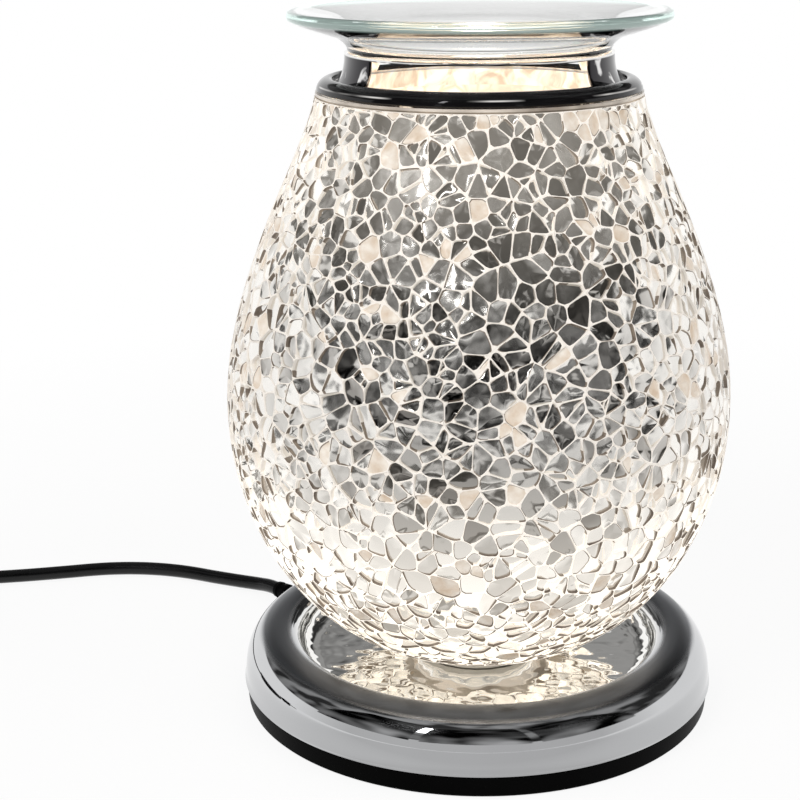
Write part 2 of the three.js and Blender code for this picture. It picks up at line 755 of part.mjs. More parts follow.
const blockMidZ = blockZ + blockSize.z / 2;
const reliefFaceRadius = shellEdgeRadius + fitGap;
const tailStart = reliefFaceRadius - reliefInside - fitGap;
const tailEnd = blockRadius + blockSize.x / 2 + fitGap;
add('supply_tail', tube([
  new THREE.Vector3(tailStart, 0, cordExitZ),
  new THREE.Vector3(tailStart - 4, 0, cordExitZ),
  new THREE.Vector3(entryInnerEnd + 4, 0, cordExitZ + 1.1),
  new THREE.Vector3(entryInnerEnd, 0, blockMidZ - 0.8),
  new THREE.Vector3(tailEnd + 3, 0, blockMidZ - 0.4),
  new THREE.Vector3(tailEnd, 0, blockMidZ - 0.4),
], cordRadius, cordSides, 8).rotateZ(cordExitAngle), blackPlastic);

function lampWire(side) {
  const start = blockRadius - blockSize.x / 2 - fitGap;
  const y = side * wireSpread;
  const wireZ = (plateTopZ + stemBottomZ) / 2;
  return tube([
    new THREE.Vector3(start, side * 4, blockMidZ),
    new THREE.Vector3(start - 4, side * 3.6, blockMidZ),
    new THREE.Vector3(washerRadius + 4, side * 2, wireZ + 0.2),
    new THREE.Vector3(4, y, wireZ),
    new THREE.Vector3(1.2, y, wireZ + 0.4),
    new THREE.Vector3(0, y, stemBottomZ + 1.4),
    new THREE.Vector3(0, y, stemTopZ),
    new THREE.Vector3(0, y, holderZ - fitGap),
  ], wireRadius, wireSides, 20).rotateZ(cordExitAngle);
}

add('wire_live', lampWire(1), brownWire);
add('wire_neutral', lampWire(-1), blueWire);

const moduleEdgeX = moduleCentre.x - moduleSize.x / 2;
add('touch_lead', tube([
  new THREE.Vector3(moduleEdgeX - fitGap, moduleCentre.y + 4, blockMidZ),
  new THREE.Vector3(moduleEdgeX - 2, moduleCentre.y + 4.6, blockMidZ + 0.6),
  new THREE.Vector3(washerRadius * 0.95, -washerRadius * 0.75, lowerWasherZ - 0.6),
  new THREE.Vector3(washerRadius * 0.85 + fitGap, -washerRadius * 0.6, lowerWasherZ + 0.5),
], wireRadius * 0.7, wireSides, 8), yellowWire);

const leadY = moduleCentre.y + moduleSize.y / 2 + fitGap;
const blockEnd = new THREE.Vector3(blockRadius, -blockSize.y / 2 - fitGap, blockMidZ)
  .applyAxisAngle(new THREE.Vector3(0, 0, 1), cordExitAngle);
add('module_lead', tube([
  blockEnd,
  new THREE.Vector3(blockEnd.x + 4, blockEnd.y + 3, blockMidZ),
  new THREE.Vector3(0, blockRadius * leadBend, blockMidZ - leadDip),
  new THREE.Vector3(leadY + leadSwing, leadY + leadSwing, blockMidZ - leadDip),
  new THREE.Vector3(moduleCentre.x, leadY + 8, blockMidZ),
  new THREE.Vector3(moduleCentre.x, leadY, blockMidZ),
], wireRadius, wireSides, 20), brownWire);

// Strain relief, mains cord, coil and plug
const reliefTip = reliefFaceRadius + reliefFlangeWidth + reliefLength;

function strainRelief() {
  const inner = tailStart + fitGap;
  const shoulder = reliefFaceRadius + reliefFlangeWidth;
  return turned([
    at(0, inner),
    at(reliefNeckRadius, inner),
    at(reliefNeckRadius, reliefFaceRadius),
    at(reliefFlangeRadius, reliefFaceRadius),
    at(reliefFlangeRadius, shoulder - reliefRound),
    at(reliefFlangeRadius - reliefRound, shoulder),
    at(reliefShoulderRadius, shoulder),
    at(reliefTipRadius, reliefTip - reliefRound),
    at(reliefTipRadius - reliefRound, reliefTip),
    at(0, reliefTip),
  ], smallSides).rotateY(Math.PI / 2).translate(0, 0, cordExitZ).rotateZ(cordExitAngle);
}

// Coil centre line: it spirals in along the table, climbs at its middle and spirals out on top.
const turnsAngle = coilTurns * Math.PI * 2;
const layerReach = (coilTurns / 2) * coilPitch;
const coilOuterRadius = coilMeanRadius + layerReach / 2;

function coilPoint(angle) {
  const half = turnsAngle / 2;
  const radius = coilOuterRadius - coilPitch * (half - Math.abs(angle - half)) / (Math.PI * 2);
  const climb = THREE.MathUtils.clamp((angle - half) / Math.PI + 0.5, 0, 1);
  const turn = coilStartAngle + angle;
  return new THREE.Vector3(coilCentre.x + radius * Math.cos(turn),
    coilCentre.y + radius * Math.sin(turn), cordRestZ + climb * coilPitch);
}

const coilEndAngle = coilStartAngle + turnsAngle;
function coilDirection(turn) {
  return new THREE.Vector3(-Math.sin(turn), Math.cos(turn), 0);
}

function coilLine() {
  const steps = Math.round(coilTurns * coilStepsPerTurn);
  const points = [];
  for (let i = 0; i <= steps; i++) points.push(coilPoint((i / steps) * turnsAngle));
  const straight = cordRadius * 2;
  const first = points[0].clone().addScaledVector(coilDirection(coilStartAngle), -straight);
  const last = points[steps].clone().addScaledVector(coilDirection(coilEndAngle), straight);
  return [first, ...points, last];
}

function coilTube(line) {
  const positions = [];
  const index = [];
  line.forEach((point, i) => {
    const before = line[Math.max(i - 1, 0)];
    const after = line[Math.min(i + 1, line.length - 1)];
    const along = after.clone().sub(before).setZ(0).normalize();
    const outward = new THREE.Vector3(along.y, -along.x, 0);
    for (let k = 0; k < coilSides; k++) {
      const angle = ((k + 0.5) / coilSides) * Math.PI * 2;
      const corner = point.clone().addScaledVector(outward, cordRadius * Math.cos(angle));
      positions.push(corner.x, corner.y, corner.z + cordRadius * Math.sin(angle));
    }
  });
  const last = line.length - 1;
  for (let i = 0; i < last; i++) {
    for (let k = 0; k < coilSides; k++) {
      const a = i * coilSides + k;
      const b = i * coilSides + (k + 1) % coilSides;
      index.push(a, b + coilSides, b, a, a + coilSides, b + coilSides);
    }
  }
  for (let k = 1; k < coilSides - 1; k++) {
    const end = last * coilSides;
    index.push(0, k, k + 1);
    index.push(end, end + k + 1, end + k);
  }
  const geometry = new THREE.BufferGeometry();
  geometry.setAttribute('position', new THREE.Float32BufferAttribute(positions, 3));
  geometry.setIndex(index);
  return geometry;
}

function leastGap(line) {
  const path = new THREE.CatmullRomCurve3(line, false, 'centripetal');
  const count = line.length * 4;
  const samples = path.getSpacedPoints(count);
  const skip = Math.ceil((cordRadius * 8) / (path.getLength() / count));
  let least = Infinity;
  for (let i = 0; i < samples.length; i++) {
    for (let k = i + skip; k < samples.length; k++) {
      least = Math.min(least, samples[i].distanceTo(samples[k]));
    }
  }
  return least - cordRadius * 2;
}

const cordRadial = new THREE.Vector3(Math.cos(cordExitAngle), Math.sin(cordExitAngle), 0);
function besideExit(distance, z) {
  return cordRadial.clone().multiplyScalar(reliefTip + distance).setZ(z);
}

const coilRoute = coilLine();
const coilMouth = coilRoute[0].clone().addScaledVector(coilDirection(coilStartAngle), -fitGap);
const leadRoute = [
  besideExit(fitGap, cordExitZ),
  besideExit(5, cordExitZ - 0.2),
  new THREE.Vector3(-81.4, 75.4, 3.7),
  new THREE.Vector3(-89.5, 79.8, 3),
  new THREE.Vector3(-100.5, 84.8, cordRestZ),
  new THREE.Vector3(-108, 87.9, cordRestZ),
  new THREE.Vector3(-116, 90.4, cordRestZ),
  new THREE.Vector3(-124, 91.9, cordRestZ),
  new THREE.Vector3(-131.5, 92.4, cordRestZ),
  new THREE.Vector3(-138.5, 92.1, cordRestZ),
  new THREE.Vector3(-145.3, 91.1, cordRestZ),
  new THREE.Vector3(-156.2, 88.3, cordRestZ),
  new THREE.Vector3(-170, 84.8, cordRestZ),
  new THREE.Vector3(-184, 81.9, cordRestZ),
  new THREE.Vector3(-198, 79.4, cordRestZ),
  new THREE.Vector3(-212, 77.2, cordRestZ),
  coilMouth.clone().addScaledVector(coilDirection(coilStartAngle), -8),
  coilMouth,
];

add('strain_relief', strainRelief(), blackPlastic);
add('cord_lead', tube(leadRoute, cordRadius, cordSides, 26), blackPlastic);
add('cord_coil', coilTube(coilRoute), blackPlastic);

// Flat two-pin plug lying beside the coil, its nose towards the cord
const plugFrame = new THREE.Group();
const plugZ = plugThickness / 2 + fitGap;
const plugHeading = coilEndAngle - endTurn;

// A place beside the coil's end: so far on, so far outwards.
function pastCoil(along, outward, z) {
  return coilRoute[coilRoute.length - 1].clone()
    .addScaledVector(coilDirection(coilEndAngle), along)
    .addScaledVector(coilDirection(coilEndAngle - Math.PI / 2), outward).setZ(z);
}

const coilTopZ = cordRestZ + coilPitch;
const endSwing = endFlat * Math.tan(endTurn);
const endRoute = [
  pastCoil(fitGap, 0, coilTopZ),
  pastCoil(endFlat, 0, coilTopZ),
  pastCoil(endLength / 2, endSwing * 0.3, coilTopZ - 0.2),
  pastCoil(endLength - endFlat, endSwing * 0.8, plugZ),
  pastCoil(endLength, endSwing * 1.8, plugZ),
];
add('cord_end', tube(endRoute, cordRadius, cordSides, 6), blackPlastic);
plugFrame.position.copy(endRoute[4]).addScaledVector(coilDirection(plugHeading), fitGap);
plugFrame.rotation.z = plugHeading;

function addToPlug(name, geometry, material) {
  const mesh = add(name, geometry, material);
  plugFrame.add(mesh);
}

function plugBody() {
  const half = plugWidth / 2;
  const neckY = plugNose * 0.6;
  const neck = plugNoseRadius * 1.2;
  const widthY = plugNose + plugShoulder;
  const outline = new THREE.Shape([at(-plugNoseRadius, 0), at(-neck, neckY), at(-half, widthY),
    at(-half, plugLength), at(half, plugLength), at(half, widthY), at(neck, neckY),
    at(plugNoseRadius, 0)]);
  const body = prism(outline, -plugThickness / 2, plugThickness);
  const pinHole = plugPinRadius + fitGap;
  return cut(body, [-1, 1].map((side) => rod(pinHole, plugLength - plugPinRoot, plugPinRoot + 1)
    .rotateX(-Math.PI / 2).translate(side * plugPinSpread, 0, 0)));
}

addToPlug('plug_body', plugBody(), blackPlastic);
[-1, 1].forEach((side, i) => {
  const pin = rod(plugPinRadius, plugLength - plugPinRoot + fitGap, plugPinLength + plugPinRoot - fitGap);
  addToPlug(`plug_pin_${i + 1}`, pin.rotateX(-Math.PI / 2).translate(side * plugPinSpread, 0, 0), brass);
});
lamp.add(plugFrame);

console.log(`cord_coil least gap to itself ${leastGap(coilRoute).toFixed(2)} mm`);

export default lamp;
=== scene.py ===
# Electric aroma lamp with a crackle mosaic shade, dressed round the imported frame.
# Metres, +Z up, front towards -Y. Outlines are written in millimetres, as (radius, height).
import math
import random

import bpy
from mathutils import Matrix, Vector
from mathutils.geometry import delaunay_2d_cdt


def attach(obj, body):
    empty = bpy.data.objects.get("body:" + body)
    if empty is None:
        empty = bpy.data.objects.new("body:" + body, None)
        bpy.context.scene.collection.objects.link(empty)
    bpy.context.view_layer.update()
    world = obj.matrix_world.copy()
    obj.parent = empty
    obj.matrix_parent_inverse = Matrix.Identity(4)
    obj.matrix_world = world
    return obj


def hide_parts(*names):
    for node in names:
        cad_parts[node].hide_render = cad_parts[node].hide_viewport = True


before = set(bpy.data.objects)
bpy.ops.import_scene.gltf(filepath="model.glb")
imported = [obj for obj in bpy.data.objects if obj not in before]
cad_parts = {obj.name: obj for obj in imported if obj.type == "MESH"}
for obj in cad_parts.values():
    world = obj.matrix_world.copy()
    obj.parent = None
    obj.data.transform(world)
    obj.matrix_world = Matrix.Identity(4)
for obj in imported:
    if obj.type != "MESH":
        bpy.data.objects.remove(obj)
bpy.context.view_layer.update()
bpy.ops.object.select_all(action='DESELECT')
mm = 0.001
fullTurn = 2 * math.pi
mergeGap = 0.000004  # points closer than this become one
grainDepth = 0.0003  # how deep a finish's grain is
print('frame loaded')

# Camera
cameraView = {'place': (0, -0.5236, 0.2545), 'pitch': 0.2892, 'yaw': -0.0467, 'roll': -0.0081,
              'lens': 77.65}
bpy.ops.object.camera_add(location=cameraView['place'])
camera = bpy.context.object
camera.name = 'photoCamera'
lookTurn = (Matrix.Rotation(-cameraView['yaw'], 3, 'Z')
            @ Matrix.Rotation(math.pi / 2 - cameraView['pitch'], 3, 'X')
            @ Matrix.Rotation(cameraView['roll'], 3, 'Z'))
camera.rotation_euler = lookTurn.to_euler()
camera.data.lens = cameraView['lens']
camera.data.clip_start = 0.01
bpy.context.scene.camera = camera
bpy.context.scene.view_settings.view_transform = 'Standard'
print('camera set')


# Modelling tools
def focus(piece):
    bpy.ops.object.select_all(action='DESELECT')
    piece.select_set(True)
    bpy.context.view_layer.objects.active = piece


def freshPlane(name, size=1, turn=(0, 0, 0)):
    bpy.ops.object.select_all(action='DESELECT')
    bpy.ops.mesh.primitive_plane_add(size=size, location=(0, 0, 0), rotation=turn)
    piece = bpy.context.object
    piece.name = piece.data.name = name
    return piece


def smoothBy(degrees):
    bpy.ops.object.shade_smooth_by_angle(angle=math.radians(degrees))


# Leaves edit mode with every face pointing outwards
def closeMesh():
    bpy.ops.mesh.select_all(action='SELECT')
    bpy.ops.mesh.normals_make_consistent(inside=False)
    bpy.ops.object.mode_set(mode='OBJECT')


# A closed piece spun from its outline, which is drawn point by point
def turnedPiece(name, outline, steps=160, smoothAngle=35):
    points = [(x * mm, z * mm) for x, z in outline]
    if points[0][0] > 0 or points[-1][0] > 0:
        points.append(points[0])
    piece = freshPlane(name, size=mm)
    bpy.ops.object.mode_set(mode='EDIT')
    bpy.ops.mesh.merge(type='CENTER')
    bpy.ops.transform.translate(value=(points[0][0], 0, points[0][1]))
    for before, point in zip(points, points[1:]):
        step = (point[0] - before[0], 0, point[1] - before[1])
        bpy.ops.mesh.extrude_vertices_move(TRANSFORM_OT_translate={'value': step})
    bpy.ops.mesh.select_all(action='SELECT')
    bpy.ops.mesh.spin(steps=steps, angle=fullTurn, center=(0, 0, 0), axis=(0, 0, 1))
    bpy.ops.mesh.select_all(action='SELECT')
    bpy.ops.mesh.remove_doubles(threshold=mergeGap)
    closeMesh()
    smoothBy(smoothAngle)
    return piece


def bezier(a, b, c, d, steps):
    points = []
    for i in range(steps + 1):
        t = i / steps
        weights = ((1 - t) ** 3, 3 * t * (1 - t) ** 2, 3 * t * t * (1 - t), t ** 3)
        points.append(tuple(sum(w * p[k] for w, p in zip(weights, (a, b, c, d)))
                            for k in (0, 1)))
    return points


# A quarter of an ellipse, or of a squarer round
def quarter(centre, width, height, steps, squareness=2):
    points = []
    for i in range(steps + 1):
        angle = i / steps * math.pi / 2
        across = max(math.cos(angle), 0) ** (2 / squareness)
        upward = math.sin(angle) ** (2 / squareness)
        points.append((centre[0] + width * across, centre[1] + height * upward))
    return points


# The same line, moved sideways to its left
def movedLine(line, distance):
    points = []
    for i, point in enumerate(line):
        before, after = line[max(i - 1, 0)], line[min(i + 1, len(line) - 1)]
        dx, dz = after[0] - before[0], after[1] - before[1]
        length = math.hypot(dx, dz)
        points.append((point[0] - dz / length * distance, point[1] + dx / length * distance))
    return points


def applyModifier(piece, kind, **values):
    focus(piece)
    modifier = piece.modifiers.new(kind.title(), kind)
    for key, value in values.items():
        setattr(modifier, key, value)
    bpy.ops.object.modifier_apply(modifier=modifier.name)


def cutWith(piece, cutter):
    applyModifier(piece, 'BOOLEAN', object=cutter, operation='DIFFERENCE', solver='EXACT')
    bpy.data.objects.remove(cutter)


def bevelEdges(piece, width, segments, degrees):
    applyModifier(piece, 'BEVEL', width=width * mm, segments=segments, limit_method='ANGLE',
                  angle_limit=math.radians(degrees))


def bakePlace(piece):
    focus(piece)
    bpy.ops.object.transform_apply(location=True, rotation=True, scale=True)


def setFinish(piece, material):
    piece.data.materials.clear()
    piece.data.materials.append(material)


def dress(piece, body, slot, material, *nodes):
    setFinish(piece, material)
    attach(piece, body)
    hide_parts(*nodes)
    return piece


# Materials: the nodes that most finishes need
def feed(tree, node, links):
    for key, source in links.items():
        tree.links.new(source, node.inputs[key])


def addNode(tree, kind, settings=None, links=None):
    node = tree.nodes.new('ShaderNode' + kind)
    for key, value in (settings or {}).items():
        if isinstance(key, int) or key in node.inputs:
            node.inputs[key].default_value = value
        else:
            setattr(node, key, value)
    feed(tree, node, links or {})
    return node


def newMaterial(name, sockets):
    material = bpy.data.materials.new(name)
    material.use_nodes = True
    shader = material.node_tree.nodes['Principled BSDF']
    for key, value in sockets.items():
        shader.inputs[key].default_value = value
    return material, material.node_tree, shader


def pieceSpot(tree):
    return addNode(tree, 'TexCoord').outputs['Object']


def heightOf(tree, spot):
    return addNode(tree, 'SeparateXYZ', None, {0: spot}).outputs['Z']


def flatOf(tree, spot):
    return addNode(tree, 'VectorMath', {'operation': 'MULTIPLY', 1: (1, 1, 0)},
                   {0: spot}).outputs[0]


def lengthOf(tree, way):
    return addNode(tree, 'VectorMath', {'operation': 'LENGTH'}, {0: way}).outputs[1]


def cloudAt(tree, spot, scale, detail, **more):
    return addNode(tree, 'TexNoise', {'Scale': scale, 'Detail': detail, **more},
                   {'Vector': spot}).outputs['Fac']


def ranged(tree, value, start, end, first=0.0, last=1.0, smooth=False):
    node = addNode(tree, 'MapRange', {'From Min': start, 'From Max': end, 'To Min': first,
                   'To Max': last}, {'Value': value})
    node.interpolation_type = 'SMOOTHSTEP' if smooth else 'LINEAR'
    return node.outputs['Result']


def between(tree, share, first, last):
    return ranged(tree, share, 0.0, 1.0, first, last)


def maths(tree, operation, *values):
    node = addNode(tree, 'Math', {'operation': operation})
    for index, value in enumerate(values):
        if isinstance(value, (int, float)):
            node.inputs[index].default_value = value
        else:
            tree.links.new(value, node.inputs[index])
    return node.outputs[0]


def times(tree, first, second):
    return maths(tree, 'MULTIPLY', first, second)


def mixedColour(tree, factor, first, second):
    mix = addNode(tree, 'Mix', {'data_type': 'RGBA'})
    tree.links.new(factor, mix.inputs[0])
    for index, colour in ((6, first), (7, second)):
        if isinstance(colour, tuple):
            mix.inputs[index].default_value = (*colour, 1)
        else:
            tree.links.new(colour, mix.inputs[index])
    return mix.outputs[2]


def mixedLevel(tree, factor, first, second):
    mix = addNode(tree, 'Mix', None, {0: factor, 2: first})
    if isinstance(second, float):
        mix.inputs[3].default_value = second
    else:
        tree.links.new(second, mix.inputs[3])
    return mix.outputs[0]


def addBump(tree, shader, height, strength, distance, under=None):
    relief = addNode(tree, 'Bump', {'Strength': strength, 'Distance': distance},
                     {'Height': height})
    if under:
        tree.links.new(under, relief.inputs['Normal'])
    tree.links.new(relief.outputs['Normal'], shader.inputs['Normal'])


# A finish whose colour and gloss wander between two ends, with a fine grain
def surface(name, colour, shade, rough, patch=60, grain=900, bump=0.05, **sockets):
    material, tree, shader = newMaterial(name, {k.replace('_', ' '): v
                                                for k, v in sockets.items()})
    spot = pieceSpot(tree)
    spread = ranged(tree, cloudAt(tree, spot, patch, 4.0), 0.3, 0.7)
    feed(tree, shader, {'Base Color': mixedColour(tree, spread, colour, shade),
                        'Roughness': between(tree, spread, *rough)})
    addBump(tree, shader, cloudAt(tree, spot, grain, 3.0), bump, grainDepth)
    return material


chrome = surface('chrome', (0.62, 0.625, 0.635), (0.56, 0.565, 0.575), (0.03, 0.07), patch=14,
                 grain=45, bump=0.04, Metallic=1.0)
blackNickel = surface('blackNickel', (0.011, 0.010, 0.011), (0.007, 0.0065, 0.007), (0.04, 0.10),
                      patch=50, grain=300, bump=0.04, Metallic=0.35, Specular_IOR_Level=0.42)
blackPlastic = surface('blackPlastic', (0.0012, 0.0012, 0.0012), (0.002, 0.002, 0.002),
                       (0.3, 0.42), patch=30, grain=1500, bump=0.08, Specular_IOR_Level=0.02)
cordBlack = surface('cordBlack', (0.0022, 0.0022, 0.0024), (0.004, 0.004, 0.0044), (0.16, 0.24),
                    patch=120, grain=2500, bump=0.08, Specular_IOR_Level=0.3)
silicone = surface('silicone', (0.80, 0.78, 0.74), (0.70, 0.68, 0.63), (0.35, 0.5), patch=80,
                   bump=0.1)
rubber = surface('rubber', (0.012, 0.012, 0.012), (0.02, 0.02, 0.02), (0.7, 0.85), patch=80,
                 grain=1800, bump=0.25)
steel = surface('steel', (0.42, 0.42, 0.43), (0.34, 0.34, 0.35), (0.25, 0.42), patch=70,
                grain=1200, bump=0.15, Metallic=1.0)
brass = surface('brass', (0.72, 0.52, 0.24), (0.6, 0.42, 0.18), (0.2, 0.35), patch=90,
                bump=0.08, Metallic=1.0)
nickel = surface('nickel', (0.62, 0.61, 0.58), (0.5, 0.49, 0.47), (0.12, 0.22), patch=90,
                 bump=0.06, Metallic=1.0)
ceramic = surface('ceramic', (0.82, 0.79, 0.73), (0.74, 0.7, 0.63), (0.45, 0.6), grain=700,
                  bump=0.15)
whitePlastic = surface('whitePlastic', (0.68, 0.66, 0.61), (0.62, 0.6, 0.55), (0.4, 0.55),
                       patch=50, grain=1100, bump=0.1)
wireBrown = surface('wireBrown', (0.10, 0.035, 0.014), (0.08, 0.028, 0.011), (0.4, 0.5))
wireBlue = surface('wireBlue', (0.028, 0.077, 0.27), (0.022, 0.06, 0.22), (0.4, 0.5))
wireYellow = surface('wireYellow', (0.48, 0.36, 0.045), (0.4, 0.3, 0.04), (0.4, 0.5))
lampSilver = surface('lampSilver', (0.8, 0.79, 0.76), (0.7, 0.69, 0.66), (0.15, 0.3),
                     grain=500, bump=0.1, Metallic=1.0)
lampGlass = surface('lampGlass', (0.97, 0.96, 0.94), (0.95545, 0.9456, 0.9259), (0.02, 0.05),
                    patch=25, grain=40, bump=0.03, Transmission_Weight=1.0, IOR=1.45)
# Pearl shards: cream fill with a faint painted glow of the lamp
pearl = surface('pearlShard', (0.94, 0.87, 0.78), (0.66, 0.51, 0.37), (0.15, 0.35), patch=230,
                grain=500, bump=0.25, Emission_Color=(1.0, 0.9, 0.75, 1), Emission_Strength=0.05)
# Plain neck band: its near-black patches are painted shade and reflection, and it has a faint
# painted glow
paleBand = surface('paleBand', (0.98, 0.88, 0.77), (0.12, 0.085, 0.06), (0.10, 0.25), patch=42,
                   grain=300, bump=0.1, Emission_Color=(1.0, 0.88, 0.7, 1),
                   Emission_Strength=0.05)
crack = surface('crackLine', (0.14, 0.105, 0.08), (0.38, 0.31, 0.24), (0.5, 0.7), patch=150)

# Base chrome: crinkled polish in the recess, painted paler so that its reflection shows brighter,
# and a rough band on the slope above, whose near-black colour is painted shade in place of a
# reflection.
# Distances are from the axis; the band rises over its first pair and falls over its second
crownValues = {'recess': (0.0575, 0.0600), 'colour': (0.92, 0.91, 0.88), 'wave': 110.0,
               'waveDepth': 0.35, 'waveHeight': 0.002, 'satinRise': (0.0598, 0.0622),
               'satinFall': (0.0690, 0.0714), 'satinShadeColour': (0.098, 0.103, 0.112),
               'satinRough': 0.30}


def crownPolish(material, v):
    tree = material.node_tree
    shader = tree.nodes['Principled BSDF']
    spot = pieceSpot(tree)
    reach = lengthOf(tree, flatOf(tree, spot))
    # Painted light: inside the recess the chrome is paler, so the shade's reflection there shows
    # brighter
    inside = ranged(tree, reach, *v['recess'], 1.0, 0.0)
    satinAndShade = times(tree, ranged(tree, reach, *v['satinRise'], smooth=True),
                  ranged(tree, reach, *v['satinFall'], 1.0, 0.0, smooth=True))
    colour, polish, grain = (shader.inputs[key].links[0].from_socket
                             for key in ('Base Color', 'Roughness', 'Normal'))
    # Painted shade: on the rough band the chrome colour goes near-black instead of reflecting
    slope = mixedColour(tree, satinAndShade, colour, v['satinShadeColour'])
    feed(tree, shader, {'Base Color': mixedColour(tree, inside, slope, v['colour']),
                        'Roughness': mixedLevel(tree, satinAndShade, polish, v['satinRough'])})
    wave = times(tree, cloudAt(tree, spot, v['wave'], 1.0), inside)
    addBump(tree, shader, wave, v['waveDepth'], v['waveHeight'], grain)


# A painted highlight: a thin broken line of glow that runs round the polished bead
paintedHighlightValues = {'height': 0.1981, 'half': 0.00035, 'patch': 42.0, 'broken': (0.46, 0.60),
                   'level': 0.75, 'colour': (1.0, 0.97, 0.94, 1)}


def paintedBeadHighlight(material, v):
    tree = material.node_tree
    shader = tree.nodes['Principled BSDF']
    spot = pieceSpot(tree)
    away = maths(tree, 'ABSOLUTE', maths(tree, 'SUBTRACT', heightOf(tree, spot), v['height']))
    line = ranged(tree, away, 0.0, v['half'], 1.0, 0.0, smooth=True)
    broken = ranged(tree, cloudAt(tree, flatOf(tree, spot), v['patch'], 2.0), *v['broken'])
    shader.inputs['Emission Color'].default_value = v['colour']
    feed(tree, shader, {'Emission Strength': times(tree, times(tree, line, broken),
                                                   v['level'])})


crownPolish(chrome, crownValues)
paintedBeadHighlight(blackNickel, paintedHighlightValues)

# Polished collar: a painted dark reflection outside, near-black with painted glints, a bright top
# edge, and inside a painted glow in pale cream and tan, in place of the lamp-lit interior it would
# reflect
collarFinish = {'inner': (-0.012, -0.004), 'rim': (0.2068, 0.2071), 'patch': 110.0,
                'streak': (0.35, 0.65), 'paintedGlintSpan': (0.56, 0.66), 'dark': (0.035, 0.033, 0.036),
                'paintedGlint': (0.75, 0.74, 0.73), 'bright': (0.82, 0.81, 0.79),
                'cream': (0.90, 0.86, 0.79), 'tan': (0.66, 0.55, 0.42),
                'warm': (1.0, 0.95, 0.88, 1), 'glow': (0.56, 0.16), 'rough': (0.05, 0.35)}


def collarMaterial(v):
    material, tree, shader = newMaterial('collarChrome', {'Emission Color': v['warm']})
    coordinates = addNode(tree, 'TexCoord')
    spot = coordinates.outputs['Object']
    outward = addNode(tree, 'VectorMath', {'operation': 'DOT_PRODUCT'},
                      {0: flatOf(tree, spot), 1: coordinates.outputs['Normal']}).outputs[1]
    inner = ranged(tree, outward, *v['inner'], 1.0, 0.0)
    rim = ranged(tree, heightOf(tree, spot), *v['rim'])
    cloud = cloudAt(tree, spot, v['patch'], 4.0, Distortion=1.5)
    streak = ranged(tree, cloud, *v['streak'])
    # Painted reflection: the outside chrome is near-black, with painted glints where the noise is
    # high
    paintedDarkReflection = mixedColour(tree, ranged(tree, cloud, *v['paintedGlintSpan']), v['dark'], v['paintedGlint'])
    outside = mixedColour(tree, rim, paintedDarkReflection, v['bright'])
    # Painted light: the inside is pale and glowing, standing in for the lit shade it would mirror
    lit = mixedColour(tree, streak, v['cream'], v['tan'])
    feed(tree, shader, {'Base Color': mixedColour(tree, inner, outside, lit),
                        'Emission Strength': times(tree, between(tree, streak, *v['glow']),
                                                   inner),
                        'Metallic': maths(tree, 'SUBTRACT', 1.0, inner),
                        'Roughness': between(tree, inner, *v['rough'])})
    return material


# Dish glass: clear, with a pale teal edge that carries a painted glow
dishFinish = {'clear': (0.985, 0.99, 0.985), 'teal': (0.82, 0.92, 0.89),
              'tint': (0.0548, 0.0576), 'paintedEdgeGlow': (0.60, 0.75, 0.70, 1), 'glow': 0.45}


def dishGlassMaterial(v):
    material, tree, shader = newMaterial('dishGlass', {'Transmission Weight': 1.0, 'IOR': 1.45,
                                         'Roughness': 0.0, 'Emission Color': v['paintedEdgeGlow']})
    spot = pieceSpot(tree)
    edge = ranged(tree, lengthOf(tree, flatOf(tree, spot)), *v['tint'], smooth=True)
    # Teal edge: a real tint in the base colour, and a painted glow as emission
    feed(tree, shader, {'Base Color': mixedColour(tree, edge, v['clear'], v['teal']),
                        'Emission Strength': times(tree, edge, v['glow'])})
    addBump(tree, shader, cloudAt(tree, spot, 30.0, 2.0), 0.05, 0.0005)
    return material


# Painted glow, standing for the lit lamp shining through a shade surface: strong at the foot and
# the top, weak at the belly
def paintedGlowLevel(tree, spot, v):
    height = heightOf(tree, spot)
    top = ranged(tree, height, *v['topSpan'], 0.0, v['top'], smooth=True)
    foot = ranged(tree, height, *v['footSpan'], v['foot'], 0.0, smooth=True)
    return maths(tree, 'ADD', maths(tree, 'ADD', top, foot), v['belly'])


# Grout: cream joints whose tone wanders, with a painted glow of the lamp behind them
groutFinish = {'pale': (0.96, 0.91, 0.85), 'deep': (0.82, 0.75, 0.67), 'patch': 90.0,
               'warm': (1.0, 0.93, 0.82, 1), 'rough': 0.45, 'topSpan': (0.13, 0.185),
               'top': 0.10, 'footSpan': (0.035, 0.11), 'foot': 0.60, 'belly': 0.08,
               'grain': 1600.0}


def groutMaterial(v):
    material, tree, shader = newMaterial('grout', {'Roughness': v['rough'],
                                                   'Emission Color': v['warm']})
    spot = pieceSpot(tree)
    cloud = cloudAt(tree, spot, v['patch'], 5.0)
    feed(tree, shader, {'Base Color': mixedColour(tree, cloud, v['pale'], v['deep']),
                        'Emission Strength': paintedGlowLevel(tree, spot, v)})
    addBump(tree, shader, cloudAt(tree, spot, v['grain'], 3.0), 0.3, 0.0002)
    return material


# Mirror shards: each has its own tone; a painted sheen makes all of them paler where they are seen
# edge on, and a painted glow stands for the lamp shining through them
shardFinish = {'pale': (0.98, 0.955, 0.91), 'dark': (0.15, 0.135, 0.12),
               'warm': (1.0, 0.92, 0.8, 1), 'edge': (0.22, 0.66), 'paintedSheenShare': 0.85,
               'rough': (0.05, 0.2), 'topSpan': (0.13, 0.19), 'top': 0.25,
               'footSpan': (0.03, 0.115), 'foot': 0.80, 'belly': 0.0, 'toneGlow': (0.5, 1.0),
               'wave': 210.0}


